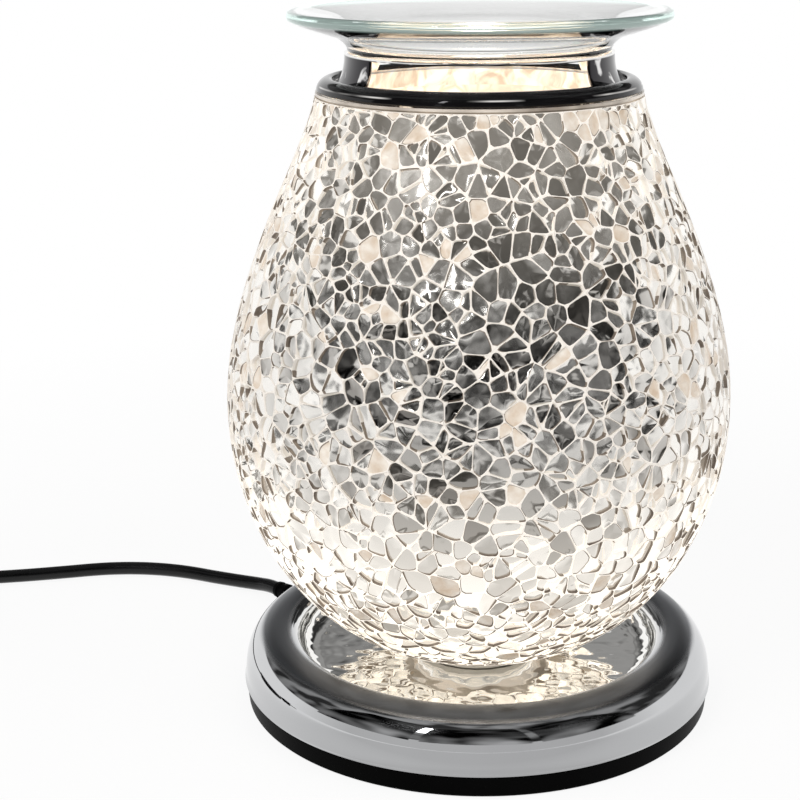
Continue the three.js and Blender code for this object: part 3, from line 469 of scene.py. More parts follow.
def shardMaterial(v):
    material, tree, shader = newMaterial('shard', {'Metallic': 1.0,
                                                   'Emission Color': v['warm']})
    spot = pieceSpot(tree)
    tone = addNode(tree, 'Attribute', {'attribute_name': 'shardTone'}).outputs['Fac']
    facing = addNode(tree, 'LayerWeight', {'Blend': 0.5}).outputs['Facing']
    paintedSheen = ranged(tree, facing, *v['edge'], 0.0, v['paintedSheenShare'])
    darkness = times(tree, between(tree, paintedSheen, 1.0, 0.0), between(tree, tone, 1.0, 0.0))
    # Painted glow of the lamp, stronger on paler shards
    lit = times(tree, paintedGlowLevel(tree, spot, v), between(tree, tone, *v['toneGlow']))
    feed(tree, shader, {'Base Color': mixedColour(tree, darkness, v['pale'], v['dark']),
                        'Roughness': between(tree, tone, *v['rough']),
                        'Emission Strength': lit})
    addBump(tree, shader, cloudAt(tree, spot, v['wave'], 1.0), 0.5, 0.0008)
    return material


# Inner glass: streaked cream with the cells showing through, silvered at its foot, and a painted
# glow of the lamp
innerFinish = {'pale': (0.90, 0.82, 0.70), 'deep': (0.46, 0.34, 0.22),
               'line': (0.50, 0.39, 0.26), 'silver': (0.82, 0.80, 0.77),
               'warm': (1.0, 0.94, 0.85, 1), 'cells': 150.0, 'lineSpan': (0.02, 0.12),
               'patch': 70.0, 'streak': (0.38, 0.62), 'silverSpan': (0.0205, 0.0225),
               'rough': (0.4, 0.12), 'topSpan': (0.13, 0.185), 'top': 0.24,
               'footSpan': (0.03, 0.06), 'foot': 0.05, 'belly': 0.25}


def innerGlassMaterial(v):
    material, tree, shader = newMaterial('innerGlass', {'Emission Color': v['warm']})
    spot = pieceSpot(tree)
    cells = addNode(tree, 'TexVoronoi', {'feature': 'DISTANCE_TO_EDGE', 'Scale': v['cells']},
                    {'Vector': spot}).outputs['Distance']
    streak = ranged(tree, cloudAt(tree, spot, v['patch'], 4.0), *v['streak'])
    body = mixedColour(tree, streak, v['pale'], v['deep'])
    glass = mixedColour(tree, ranged(tree, cells, *v['lineSpan']), v['line'], body)
    foot = ranged(tree, heightOf(tree, spot), *v['silverSpan'], 1.0, 0.0)
    feed(tree, shader, {'Base Color': mixedColour(tree, foot, glass, v['silver']),
                        'Metallic': foot, 'Roughness': between(tree, foot, *v['rough']),
                        'Emission Strength': paintedGlowLevel(tree, spot, v)})
    return material


def lampFaceMaterial():
    material, tree, shader = newMaterial('lampFace', {'Roughness': 0.3,
                                                      'Emission Color': (1.0, 0.9, 0.72, 1)})
    facets = addNode(tree, 'TexVoronoi', {'Scale': 260.0}, {'Vector': pieceSpot(tree)})
    feed(tree, shader, {'Emission Strength': between(tree, facets.outputs['Distance'],
                                                     4.0, 2.5)})
    return material


collarChrome = collarMaterial(collarFinish)
dishGlass = dishGlassMaterial(dishFinish)
grout = groutMaterial(groutFinish)
shard = shardMaterial(shardFinish)
innerGlass = innerGlassMaterial(innerFinish)
lampFace = lampFaceMaterial()
print('materials ready')

# Mains cord: out of the relief, along the table, round the coil and into the plug
cord = {'radius': 2.5, 'exitAngle': math.radians(137), 'exitZ': 4.6, 'faceRadius': 76.4,
        'start': 79.0, 'tip': 100.7, 'restZ': 2.6, 'coil': (-222, 36), 'meanRadius': 29.3,
        'pitch': 5.5, 'startAngle': math.radians(111), 'finishAngle': math.pi, 'wholeTurns': 7,
        'turnSteps': 24, 'endFlat': 5, 'endTurn': math.radians(12), 'plugZ': 7.7}
cordTurns = cord['wholeTurns'] + (cord['finishAngle'] - cord['startAngle']) / fullTurn
cordRadial = Vector((math.cos(cord['exitAngle']), math.sin(cord['exitAngle']), 0))


def besideExit(radius, z):
    return (cordRadial.x * radius, cordRadial.y * radius, z)


def coilPoint(angle):
    half = cordTurns * math.pi
    outer = cord['meanRadius'] + cordTurns / 4 * cord['pitch']
    radius = outer - cord['pitch'] * (half - abs(angle - half)) / fullTurn
    climb = min(max((angle - half) / math.pi + 0.5, 0), 1)
    around = cord['startAngle'] + angle
    return (cord['coil'][0] + radius * math.cos(around),
            cord['coil'][1] + radius * math.sin(around), cord['restZ'] + climb * cord['pitch'])


def coilAlong(point, angle, along, outward, z):
    return (point[0] - math.sin(angle) * along + math.cos(angle) * outward,
            point[1] + math.cos(angle) * along + math.sin(angle) * outward, z)


cordRoute = [besideExit(cord['start'], cord['exitZ']), besideExit(90, cord['exitZ']),
             besideExit(cord['tip'] + 0.3, cord['exitZ']),
             besideExit(cord['tip'] + 5, cord['exitZ'] - 0.2), (-81.4, 75.4, 3.7),
             (-89.5, 79.8, 3.0)]
cordRoute += [(x, y, cord['restZ']) for x, y in (
    (-100.5, 84.8), (-108, 87.9), (-116, 90.4), (-124, 91.9), (-131.5, 92.4), (-138.5, 92.1),
    (-145.3, 91.1), (-156.2, 88.3), (-170, 84.8), (-184, 81.9), (-198, 79.4), (-212, 77.2))]
coilSteps = round(cordTurns * cord['turnSteps'])
coilPoints = [coilPoint(i / coilSteps * cordTurns * fullTurn) for i in range(coilSteps + 1)]
cordRoute.append(coilAlong(coilPoints[0], cord['startAngle'], -13.3, 0, cord['restZ']))
cordRoute.append(coilAlong(coilPoints[0], cord['startAngle'], -5, 0, cord['restZ']))
cordRoute += coilPoints
coilEnd = coilPoints[-1]
topZ = cord['restZ'] + cord['pitch']
swing = cord['endFlat'] * math.tan(cord['endTurn'])
for along, outward, z in ((5, 0, topZ), (10, 0, topZ), (14, swing * 0.3, topZ - 0.2),
                          (18, swing * 0.8, cord['plugZ']), (23, swing * 1.8, cord['plugZ'])):
    cordRoute.append(coilAlong(coilEnd, cord['finishAngle'], along, outward, z))
plugMouth = Vector(cordRoute[-1])
plugHeading = cord['finishAngle'] - cord['endTurn']
cordRoute.append(coilAlong(cordRoute[-1], plugHeading, 4, 0, cord['plugZ']))

bpy.ops.object.select_all(action='DESELECT')
bpy.ops.curve.primitive_bezier_curve_add(location=(0, 0, 0))
mainsCord = bpy.context.object
mainsCord.name = mainsCord.data.name = 'mainsCord'
mainsCord.data.splines.clear()
spline = mainsCord.data.splines.new('BEZIER')
spline.bezier_points.add(len(cordRoute) - 1)
for bezierPoint, place in zip(spline.bezier_points, cordRoute):
    bezierPoint.co = Vector(place) * mm
    bezierPoint.handle_left_type = bezierPoint.handle_right_type = 'AUTO'
spline.resolution_u = 5
mainsCord.data.bevel_depth = cord['radius'] * mm
mainsCord.data.bevel_resolution = 4
mainsCord.data.use_fill_caps = True
dress(mainsCord, 'base', 'cord_black', cordBlack, 'cord_lead', 'cord_coil', 'cord_end')
cordLength = sum((Vector(b) - Vector(a)).length for a, b in zip(cordRoute, cordRoute[1:])) * mm
print('cord about', round(cordLength, 3), 'm')


# Strain relief: a ribbed tapered bush, lying along the cord's way out
reliefValues = {'flange': 4.0, 'flangeWidth': 1.8, 'neck': 3.1, 'inner': 69.2, 'shoulder': 3.7,
                'tipRadius': 2.9, 'ribs': 5, 'ribsFrom': 1.4, 'ribsLess': 3, 'groove': 0.45,
                'round': 0.3}


def strainRelief(v):
    face, tip = cord['faceRadius'], cord['tip']
    shoulder = face + v['flangeWidth']
    line = [(0, v['inner']), (v['neck'], v['inner']), (v['neck'], face),
            (v['flange'] - v['round'], face), (v['flange'], face + v['round']),
            (v['flange'], shoulder - v['round']), (v['flange'] - v['round'], shoulder),
            (v['shoulder'], shoulder + 0.2)]
    pitch = (tip - shoulder - v['ribsLess']) / v['ribs']
    taper = v['tipRadius'] - v['shoulder']
    for i in range(v['ribs']):
        start = shoulder + v['ribsFrom'] + i * pitch
        radius = v['shoulder'] + taper * (start - shoulder) / (tip - shoulder)
        line += [(radius, start + pitch * 0.45), (radius - v['groove'], start + pitch * 0.55),
                 (radius - v['groove'], start + pitch * 0.85), (radius, start + pitch * 0.95)]
    line += [(v['tipRadius'], tip - v['round']), (v['tipRadius'] - v['round'], tip), (0, tip)]
    piece = turnedPiece('strainReliefBush', line, steps=40)
    piece.rotation_euler = (0, math.pi / 2, 0)
    bakePlace(piece)
    piece.rotation_euler = (0, 0, cord['exitAngle'])
    piece.location = (0, 0, cord['exitZ'] * mm)
    bakePlace(piece)
    return dress(piece, 'base', 'black_plastic', blackPlastic, 'strain_relief')


strainReliefBush = strainRelief(reliefValues)

# Plug: a flat moulded body with a ribbed grip, and two round pins
plugValues = {'length': 36, 'width': 26, 'thick': 14.8, 'noseRadius': 3.6, 'grip': 0.25,
              'gripThick': 0.2, 'round': 1.6, 'inset': 0.3, 'pinSpread': 9.3, 'pinRadius': 2.0,
              'pinLength': 19, 'pinRoot': 3}


def placeAtPlug(piece):
    bakePlace(piece)
    piece.rotation_euler = (0, 0, plugHeading)
    start = coilAlong(plugMouth, plugHeading, plugValues['inset'], 0, cord['plugZ'])
    piece.location = Vector(start) * mm
    bakePlace(piece)


def plugBody(v):
    piece = freshPlane('plugMoulding', turn=(math.pi / 2, 0, 0))
    nose = 2 * v['noseRadius']
    piece.scale = (nose * mm, nose * mm, 1)
    bakePlace(piece)
    bpy.ops.object.mode_set(mode='EDIT')
    bpy.ops.mesh.select_all(action='SELECT')
    wide, thick = v['width'] / nose, v['thick'] / nose
    hollow = (wide - v['grip'], thick - v['gripThick'])
    # Each section: how far along, then its width and thickness in widths of the nose
    sections = [(4, 1.12, 1.05), (8, 1.4, 1.25), (11.5, 2.3, 1.7), (14.5, 3.1, 1.95),
                (17, wide - 0.1, thick - 0.06), (19, wide, thick), (21, *hollow),
                (23, wide, thick), (25, *hollow), (27, wide, thick), (29, *hollow),
                (31, wide, thick), (34.6, wide, thick), (v['length'], wide - 0.2, thick - 0.2)]
    before = (0, 1, 1)
    for section in sections:
        bpy.ops.mesh.extrude_region_move(
            TRANSFORM_OT_translate={'value': (0, (section[0] - before[0]) * mm, 0)})
        bpy.ops.transform.resize(value=(section[1] / before[1], 1, section[2] / before[2]))
        before = section
    closeMesh()
    bevelEdges(piece, v['round'], 3, 60)
    smoothBy(35)
    placeAtPlug(piece)
    return dress(piece, 'base', 'black_plastic', blackPlastic, 'plug_body')


def plugPin(name, side, v):
    root, radius, tip = v['length'] - v['pinRoot'], v['pinRadius'], v['length'] + v['pinLength']
    piece = turnedPiece(name, [(0, root), (radius, root), (radius, tip - 1.2),
                               (radius - 0.4, tip - 0.3), (radius - 1.2, tip), (0, tip)], steps=32)
    piece.rotation_euler = (-math.pi / 2, 0, 0)
    bakePlace(piece)
    piece.location = (side * v['pinSpread'] * mm, 0, 0)
    placeAtPlug(piece)
    return piece


plugMoulding = plugBody(plugValues)
for index, side in ((1, -1), (2, 1)):
    pin = plugPin(f'plugPin{index}', side, plugValues)
    dress(pin, 'base', 'brass', nickel, f'plug_pin_{index}')
print('cord, relief and plug made')

# Base: chrome shell with its recess, black ring, plate and feet
baseValues = {'edge': (76.1, 7.4), 'side': (75.7, 8.5), 'crest': (64, 23.5), 'square': 2.4,
              'lipRadius': 57.8, 'lipZ': 19.9, 'floorRadius': 51, 'floorZ': 14.5, 'stemHole': 5.3,
              'wall': 1.2, 'ringInner': 72.6, 'ringFoot': 75, 'ringTop': 75.6, 'ringZ': 0.4,
              'ringTopZ': 7.1, 'spigot': 74.2, 'spigotZ': 9.9, 'ledge': 4.6, 'ledgeZ': 3.9,
              'ledgeThick': 1.7, 'entry': 3.4, 'entryMiddle': 69, 'entryLength': 30}


def entryCutter(v):
    bpy.ops.object.select_all(action='DESELECT')
    bpy.ops.mesh.primitive_cylinder_add(vertices=48, radius=v['entry'] * mm,
                                        depth=v['entryLength'] * mm, rotation=(0, math.pi / 2, 0),
                                        location=(v['entryMiddle'] * mm, 0, 0))
    cutter = bpy.context.object
    bakePlace(cutter)
    cutter.rotation_euler = (0, 0, cord['exitAngle'])
    cutter.location = (0, 0, cord['exitZ'] * mm)
    bakePlace(cutter)
    return cutter


def chromeBase(v):
    side = quarter((v['crest'][0], v['side'][1]), v['side'][0] - v['crest'][0],
                   v['crest'][1] - v['side'][1], 22, v['square'])
    lip = quarter((v['crest'][0], v['lipZ']), v['lipRadius'] - v['crest'][0],
                  v['crest'][1] - v['lipZ'], 14)
    bowl = quarter((v['floorRadius'], v['lipZ']), v['lipRadius'] - v['floorRadius'],
                   v['floorZ'] - v['lipZ'], 12)
    skin = side + lip[::-1][1:] + bowl[1:]
    inside = movedLine(skin, v['wall'])[1:-1]
    under, within = v['floorZ'] - v['wall'], v['side'][0] - v['wall']
    line = [v['edge'], *skin, (v['stemHole'], v['floorZ']), (v['stemHole'], under),
            (v['floorRadius'], under), *inside[::-1], (within, v['side'][1]),
            (within, v['edge'][1])]
    piece = turnedPiece('chromeBase', line, steps=256, smoothAngle=50)
    cutWith(piece, entryCutter(v))
    focus(piece)
    smoothBy(50)
    return dress(piece, 'base', 'chrome', chrome, 'base_shell')


def blackRing(v):
    ledgeTop = v['ledgeZ'] + v['ledgeThick']
    line = [(v['ringInner'], v['ringZ']), (v['ringFoot'] - 0.5, v['ringZ']),
            (v['ringFoot'], v['ringZ'] + 0.5), (v['ringTop'], v['ringTopZ'] - 0.4),
            (v['ringTop'] - 0.3, v['ringTopZ']), (v['spigot'], v['ringTopZ']),
            (v['spigot'], v['spigotZ']), (v['ringInner'], v['spigotZ']),
            (v['ringInner'], ledgeTop), (v['ringInner'] - v['ledge'], ledgeTop),
            (v['ringInner'] - v['ledge'], v['ledgeZ']), (v['ringInner'], v['ledgeZ'])]
    piece = turnedPiece('blackRing', line, steps=256)
    cutWith(piece, entryCutter(v))
    focus(piece)
    smoothBy(35)
    return dress(piece, 'base', 'black_plastic', blackPlastic, 'base_ring')


chromeBase(baseValues)
blackRing(baseValues)
print('base made')

# Shade outline: two curves that meet at the belly, walked from the foot to the neck
shadeValues = {'foot': (21.2, 20.2), 'belly': (78.7, 99.8), 'neck': (49.2, 196.0),
               'lower': ((49.9, 21.5), (78.7, 54.8)), 'upper': ((78.7, 139.6), (51.1, 180.1)),
               'mosaic': 1.6, 'sunk': 1.15, 'gap': 0.3, 'glass': 2.2, 'floorZ': 16.6,
               'floor': 2.6, 'hole': 8, 'footInset': 1.8}


def shadeLine(v, steps):
    return (bezier(v['foot'], *v['lower'], v['belly'], steps)
            + bezier(v['belly'], *v['upper'], v['neck'], steps)[1:])


# The outline by the distance walked along it, and by the flat map in which circles stay round
class ShadeWalk:
    def __init__(self, line):
        self.line = [(x * mm, z * mm) for x, z in line]
        self.run, self.flat = [0.0], [0.0]
        for a, b in zip(self.line, self.line[1:]):
            step = math.hypot(b[0] - a[0], b[1] - a[1])
            self.run.append(self.run[-1] + step)
            self.flat.append(self.flat[-1] + step * 2 / (a[0] + b[0]))
        self.length, self.top = self.run[-1], self.flat[-1]

    def find(self, table, value):
        low, high = 0, len(table) - 1
        while high - low > 1:
            middle = (low + high) // 2
            if table[middle] <= value:
                low = middle
            else:
                high = middle
        share = (value - table[low]) / (table[high] - table[low])
        return low, share

    def flatAt(self, run):
        low, share = self.find(self.run, min(max(run, 0), self.length))
        beyond = min(run, 0) / self.line[0][0] + max(run - self.length, 0) / self.line[-1][0]
        return self.flat[low] + share * (self.flat[low + 1] - self.flat[low]) + beyond

    def spot(self, around, flat, raised):
        low, share = self.find(self.flat, min(max(flat, 0), self.top))
        a, b = self.line[low], self.line[low + 1]
        dx, dz = b[0] - a[0], b[1] - a[1]
        step = math.hypot(dx, dz)
        radius = a[0] + share * dx + raised * dz / step
        return (radius * math.cos(around), radius * math.sin(around),
                a[1] + share * dz - raised * dx / step)

    def radiusAt(self, flat):
        low, share = self.find(self.flat, min(max(flat, 0), self.top))
        return self.line[low][0] + share * (self.line[low + 1][0] - self.line[low][0])


shadeWalk = ShadeWalk(shadeLine(shadeValues, 200))

# Crackle mosaic: irregular mirror shards, each in a raised cream joint
mosaicValues = {'row': 0.0047, 'along': 0.0054, 'jitter': 0.46, 'waves': 7, 'contrast': 1.6,
                'dropShare': 0.20, 'dropFine': (1.7, 1.4), 'extraShare': 0.27,
                'extraFine': 2.2, 'leastSide': 0.0025, 'footEdge': 0.0008, 'strip': 0.0013,
                'jointLow': 0.00003, 'jointHigh': 0.00020, 'wall': 0.00012,
                'leastRim': 0.4, 'leastShard': 0.3, 'middleJoint': 0.55,
                'crestDepth': 0.00003, 'rimDepth': 0.00010, 'sink': 0.00052,
                'sinkSpread': (0.7, 1.2), 'leastSink': 0.00018, 'dome': 0.00042, 'tilt': 0.20,
                'mostTilt': 0.0003, 'toneCurve': 0.6, 'crackShare': 0.34,
                'pearlShare': 0.06, 'topPearl': 0.30, 'topFrom': 0.93, 'smallPearl': 0.25,
                'small': 0.0009, 'pearlSink': 0.35, 'lowTop': 0.095, 'lowSpan': 0.05,
                'lowWall': 0.00013, 'lowCrack': 0.8, 'mergeGap': 0.00002, 'seed': 11}


def scatterSeeds(v, walk, dice):
    waves = [(dice.randint(1, 9), dice.uniform(1, 9), dice.uniform(0, 6.28))
             for _ in range(v['waves'])]

    def fineness(around, flat):
        total = sum(math.sin(a * around + b * flat * 4 + c) for a, b, c in waves) / len(waves)
        return min(max(0.5 + v['contrast'] * total, 0), 1)

    seeds = []
    rows = math.ceil(walk.length / v['row'])
    for row in range(-2, rows + 2):
        rowFlat = walk.flatAt((row + 0.5) * v['row'])
        radius = walk.radiusAt(rowFlat)
        count = round(fullTurn * radius / v['along'])
        for i in range(count):
            fine = fineness(i / count * fullTurn, rowFlat)
            if dice.random() < v['dropShare'] * (v['dropFine'][0] - v['dropFine'][1] * fine):
                continue
            nudge = dice.uniform(-v['jitter'], v['jitter'])
            around = (i + 0.5 * (row % 2) + nudge) / count * fullTurn
            run = (row + 0.5 + dice.uniform(-v['jitter'], v['jitter'])) * v['row']
            seeds.append((around % fullTurn, walk.flatAt(run)))
            if dice.random() < v['extraShare'] * v['extraFine'] * fine:
                aside = dice.uniform(0.25, 0.5) * dice.choice((-1, 1))
                beside = around + aside * v['along'] / radius
                above = run + dice.uniform(-0.5, 0.5) * v['row']
                seeds.append((beside % fullTurn, walk.flatAt(above)))
    return seeds


# Each seed's cell is the ring of the middles of the circles through it and its neighbours
def cellOutlines(seeds, low, high):
    margin = 0.35
    points = list(seeds)
    points += [(u + fullTurn, w) for u, w in seeds if u < margin]
    points += [(u - fullTurn, w) for u, w in seeds if u > fullTurn - margin]
    found = delaunay_2d_cdt([Vector(p) for p in points], [], [], 0, 0.0000001)
    places, faces, sources = found[0], found[2], found[3]
    corners = [[] for _ in places]
    for face in faces:
        (ax, ay), (bx, by), (cx, cy) = (places[k] for k in face)
        twist = 2 * (ax * (by - cy) + bx * (cy - ay) + cx * (ay - by))
        if abs(twist) < 1e-12:
            continue
        a2, b2, c2 = ax * ax + ay * ay, bx * bx + by * by, cx * cx + cy * cy
        middle = ((a2 * (by - cy) + b2 * (cy - ay) + c2 * (ay - by)) / twist,
                  (a2 * (cx - bx) + b2 * (ax - cx) + c2 * (bx - ax)) / twist)
        for k in face:
            corners[k].append(middle)
    outlines = []
    for k, ring in enumerate(corners):
        if len(ring) < 3 or not sources[k] or min(sources[k]) >= len(seeds):
            continue
        x, y = places[k]
        ring.sort(key=lambda p: math.atan2(p[1] - y, p[0] - x))
        ring = clipRing(clipRing(ring, low, 1), high, -1)
        if len(ring) > 2:
            outlines.append(ring)
    return outlines


def clipRing(ring, limit, side):
    kept = []
    for a, b in zip(ring, ring[1:] + ring[:1]):
        insideA, insideB = (a[1] - limit) * side >= 0, (b[1] - limit) * side >= 0
        if insideA:
            kept.append(a)
        if insideA != insideB:
            share = (limit - a[1]) / (b[1] - a[1])
            kept.append((a[0] + share * (b[0] - a[0]), limit))
    return kept


def tidyRing(ring, least):
    kept = []
    for point in ring:
        if not kept or math.hypot(point[0] - kept[-1][0], point[1] - kept[-1][1]) > least:
            kept.append(point)
    if len(kept) > 1 and math.hypot(kept[0][0] - kept[-1][0], kept[0][1] - kept[-1][1]) <= least:
        kept.pop()
    return kept


# One shard in its joint: the joint's crest, its rim, the wall down to the shard, and the shard
def addCell(ring, walk, v, dice, out):
    around = sum(p[0] for p in ring) / len(ring)
    flat = sum(p[1] for p in ring) / len(ring)
    radius = walk.radiusAt(flat)
    local = [((u - around) * radius, (w - flat) * radius) for u, w in ring]
    count = len(local)
    sides = list(zip(local, local[1:] + local[:1]))
    inner = min(abs(a[0] * b[1] - a[1] * b[0]) / max(math.hypot(b[0] - a[0], b[1] - a[1]), 1e-9)
                for a, b in sides)
    joint = dice.uniform(v['jointLow'], v['jointHigh'])
    lower = min(max((v['lowTop'] - walk.spot(0, flat, 0)[2]) / v['lowSpan'], 0), 1)
    wall = v['wall'] + lower * (v['lowWall'] - v['wall'])
    crackPart = v['crackShare'] + lower * (v['lowCrack'] - v['crackShare'])
    reach = max(inner, 0.0001)
    rounded = []
    for a, b in sides:
        for share, part in ((0.16, 1.0), (0.5, v['middleJoint']), (0.84, 1.0)):
            rounded.append((a[0] + share * (b[0] - a[0]), a[1] + share * (b[1] - a[1]),
                            max(1 - part * joint / reach, v['leastRim']),
                            max(1 - (part * joint + wall) / reach, v['leastShard'])))
    lean = (dice.gauss(0, v['tilt']), dice.gauss(0, v['tilt']))
    dome = dice.uniform(-1, 1) * v['dome']
    nearTop = walk.find(walk.flat, min(flat, walk.top))[0] > v['topFrom'] * len(walk.line)
    likely = v['topPearl'] if nearTop else v['pearlShare']
    pearlCell = dice.random() < (v['smallPearl'] if inner < v['small'] else likely)
    sink = v['sink'] * (v['pearlSink'] if pearlCell else dice.uniform(*v['sinkSpread']))
    tone = dice.random() ** v['toneCurve']

    def put(x, y, raised):
        out['verts'].append(walk.spot(around + x / radius, flat + y / radius, raised))
        return len(out['verts']) - 1

    def face(corners, slot):
        out['faces'].append(corners)
        out['slots'].append(slot)
        out['tones'].append(tone)

    crest = [put(x, y, -v['crestDepth']) for x, y in local]
    rim = [put(x * outer, y * outer, -v['rimDepth']) for x, y, outer, inside in rounded]
    low = []
    for x, y, outer, inside in rounded:
        x, y = x * inside, y * inside
        tilted = max(min(x * lean[0] + y * lean[1], v['mostTilt']), -v['mostTilt'])
        low.append(put(x, y, min(-sink + tilted, -v['leastSink'])))
    heart = put(0, 0, -sink + dome)
    crackStart, crackRun = dice.randrange(3 * count), round(3 * count * crackPart)
    for i in range(count):
        after = (i + 1) % count
        face((crest[i], crest[after], rim[3 * i + 2], rim[3 * i + 1], rim[3 * i]), 0)
        face((crest[after], rim[3 * after], rim[3 * i + 2]), 0)
    for i in range(3 * count):
        after = (i + 1) % (3 * count)
        dark = (i - crackStart) % (3 * count) < crackRun
        face((rim[i], rim[after], low[after], low[i]), 3 if dark else 0)
        face((low[i], low[after], heart), 2 if pearlCell else 1)


def mosaicHalf(name, cells, walk, v, dice):
    out = {'verts': [], 'faces': [], 'slots': [], 'tones': []}
    for ring in cells:
        addCell(ring, walk, v, dice, out)
    mesh = bpy.data.meshes.new(name)
    mesh.from_pydata(out['verts'], [], out['faces'])
    mesh.polygons.foreach_set('material_index', out['slots'])
    tones = mesh.attributes.new('shardTone', 'FLOAT', 'FACE')
    tones.data.foreach_set('value', out['tones'])
    piece = bpy.data.objects.new(name, mesh)
    bpy.context.collection.objects.link(piece)
    for material in (grout, shard, pearl, crack):
        mesh.materials.append(material)
    focus(piece)
    bpy.ops.object.mode_set(mode='EDIT')
    bpy.ops.mesh.select_all(action='SELECT')
    bpy.ops.mesh.remove_doubles(threshold=v['mergeGap'])
    bpy.ops.object.mode_set(mode='OBJECT')
    smoothBy(32)
    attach(piece, 'base')
    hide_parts('mosaic_skin')
    print(name, len(mesh.polygons), 'faces')


dice = random.Random(mosaicValues['seed'])
seeds = scatterSeeds(mosaicValues, shadeWalk, dice)
lowEdge = shadeWalk.flatAt(mosaicValues['footEdge'])
highEdge = shadeWalk.flatAt(shadeWalk.length - mosaicValues['strip'])
outlines = [tidyRing(ring, mosaicValues['leastSide'])
            for ring in cellOutlines(seeds, lowEdge, highEdge)]
outlines = [ring for ring in outlines if len(ring) > 2]
front, back = [], []
for ring in outlines:
    middle = sum(p[0] for p in ring) / len(ring) % fullTurn
    (back if middle < math.pi else front).append(ring)
print(len(outlines), 'mosaic cells')
mosaicHalf('mosaicFront', front, shadeWalk, mosaicValues, dice)
mosaicHalf('mosaicBack', back, shadeWalk, mosaicValues, dice)


# Backing: what the joints stand on, with a plain band at the neck
def shadeBacking(v, strip):
    line = shadeLine(v, 60)
    sunk = movedLine(line, v['sunk'])
    outer = [line[0], line[1], *sunk[2:-1]]
    run, top = 0, line[-1]
    for a, b in zip(line[::-1], line[::-1][1:]):
        run += math.hypot(b[0] - a[0], b[1] - a[1])
        if run > strip / mm:
            break
        top = b
    outer = [p for p in outer if p[1] < top[1]] + [p for p in line if p[1] >= top[1]]
    inner = movedLine(line, v['mosaic'])
    return turnedPiece('mosaicBacking', outer + inner[::-1], steps=200)


def innerShade(v):
    line = shadeLine(v, 40)
    outside = movedLine(line, v['mosaic'] + v['gap'])
    inside = movedLine(line, v['mosaic'] + v['gap'] + v['glass'])
    foot = v['foot'][0] - v['footInset']
    shoulder = v['foot'][1] + v['mosaic'] / 2
    within, floorTop = foot - v['floor'], v['floorZ'] + v['floor']
    outline = [(v['hole'], v['floorZ']), (foot - 0.8, v['floorZ']), (foot, v['floorZ'] + 0.8),
               (foot, shoulder), *outside, *inside[::-1], (within, shoulder + v['floor'] / 2),
               (within - 0.6, floorTop), (v['hole'], floorTop)]
    return turnedPiece('innerShade', outline, steps=160, smoothAngle=50)


dress(shadeBacking(shadeValues, mosaicValues['strip']), 'base', 'mirror_mosaic', paleBand,
      'mosaic_skin')
dress(innerShade(shadeValues), 'base', 'shade_glass', innerGlass, 'glass_shade')
print('shade made')

# Bead ring, gallery collar and clear dish
beadValues = {'z': 196.3, 'height': 3.9, 'radius': 48.9, 'crest': 44.8, 'bore': 42.4,
              'rebate': 44.0, 'seatZ': 197.2}
collarValues = {'skirt': (41, 42), 'skirtZ': 193, 'flangeZ': 197.5, 'flange': 43.6, 'thick': 0.8,
                'foot': 43.4, 'top': (40.3, 207.5), 'pull': ((41.6, 199.2), (40.2, 202.5)),
                'wall': 1.0, 'round': 0.22, 'windowZ': (198.9, 206.7),
                'windowHalf': math.radians(51), 'cutterWide': 14, 'cutterMiddle': 42}
dishValues = {'z': 206.5, 'foot': 36.4, 'seat': (39.3, 207.9), 'bendZ': 213.15,
              'rim': (57.6, 218.4), 'round': 1.4, 'glass': 3.2, 'inPull': 0.8, 'outPull': 8,
              'overhang': 2.2}


def beadRing(v):
    crown = quarter((v['crest'], v['z']), v['radius'] - v['crest'], v['height'], 16)
    top = v['z'] + v['height']
    line = [(v['bore'], v['z']), (v['radius'] - 0.5, v['z']), *crown[1:],
            (v['rebate'] + 0.1, top - 0.4), (v['rebate'], top - 0.8), (v['rebate'], v['seatZ']),
            (v['bore'], v['seatZ'])]
    return dress(turnedPiece('beadRing', line, steps=240, smoothAngle=45), 'gallery',
                 'black_nickel', blackNickel, 'bead_ring')


def windowCutter(v, turn):
    low, high = v['windowZ']
    cutter = freshPlane('windowCutter', turn=(math.pi / 2, 0, 0))
    cutter.scale = (v['cutterWide'] * mm, (high - low) * mm, 1)
    bakePlace(cutter)
    cutter.location = (v['cutterMiddle'] * mm, 0, (low + high) / 2 * mm)
    bakePlace(cutter)
    cutter.rotation_euler = (0, 0, turn + v['windowHalf'])
    bakePlace(cutter)
    bpy.ops.object.mode_set(mode='EDIT')
    bpy.ops.mesh.select_all(action='SELECT')
    bpy.ops.mesh.spin(steps=48, angle=2 * v['windowHalf'], center=(0, 0, 0), axis=(0, 0, 1))
    closeMesh()
    return cutter


def galleryCollar(v):
    flangeTop = v['flangeZ'] + v['thick']
    waist = bezier((v['foot'], flangeTop), *v['pull'], v['top'], 18)
    inside = movedLine(waist, v['wall'])
    inside[-1] = (inside[-1][0], v['top'][1])
    line = [(v['skirt'][0], v['skirtZ']), (v['skirt'][1], v['skirtZ']),
            (v['skirt'][1], v['flangeZ']), (v['flange'], v['flangeZ']), (v['flange'], flangeTop),
            *waist, *inside[::-1][:-1], (v['skirt'][0], flangeTop - 0.2)]
    piece = turnedPiece('galleryCollar', line, steps=200, smoothAngle=45)
    for turn in (-math.pi / 2, math.pi / 2):
        cutWith(piece, windowCutter(v, turn))
    bevelEdges(piece, v['round'], 2, 50)
    smoothBy(45)
    return dress(piece, 'gallery', 'chrome', collarChrome, 'gallery_collar')


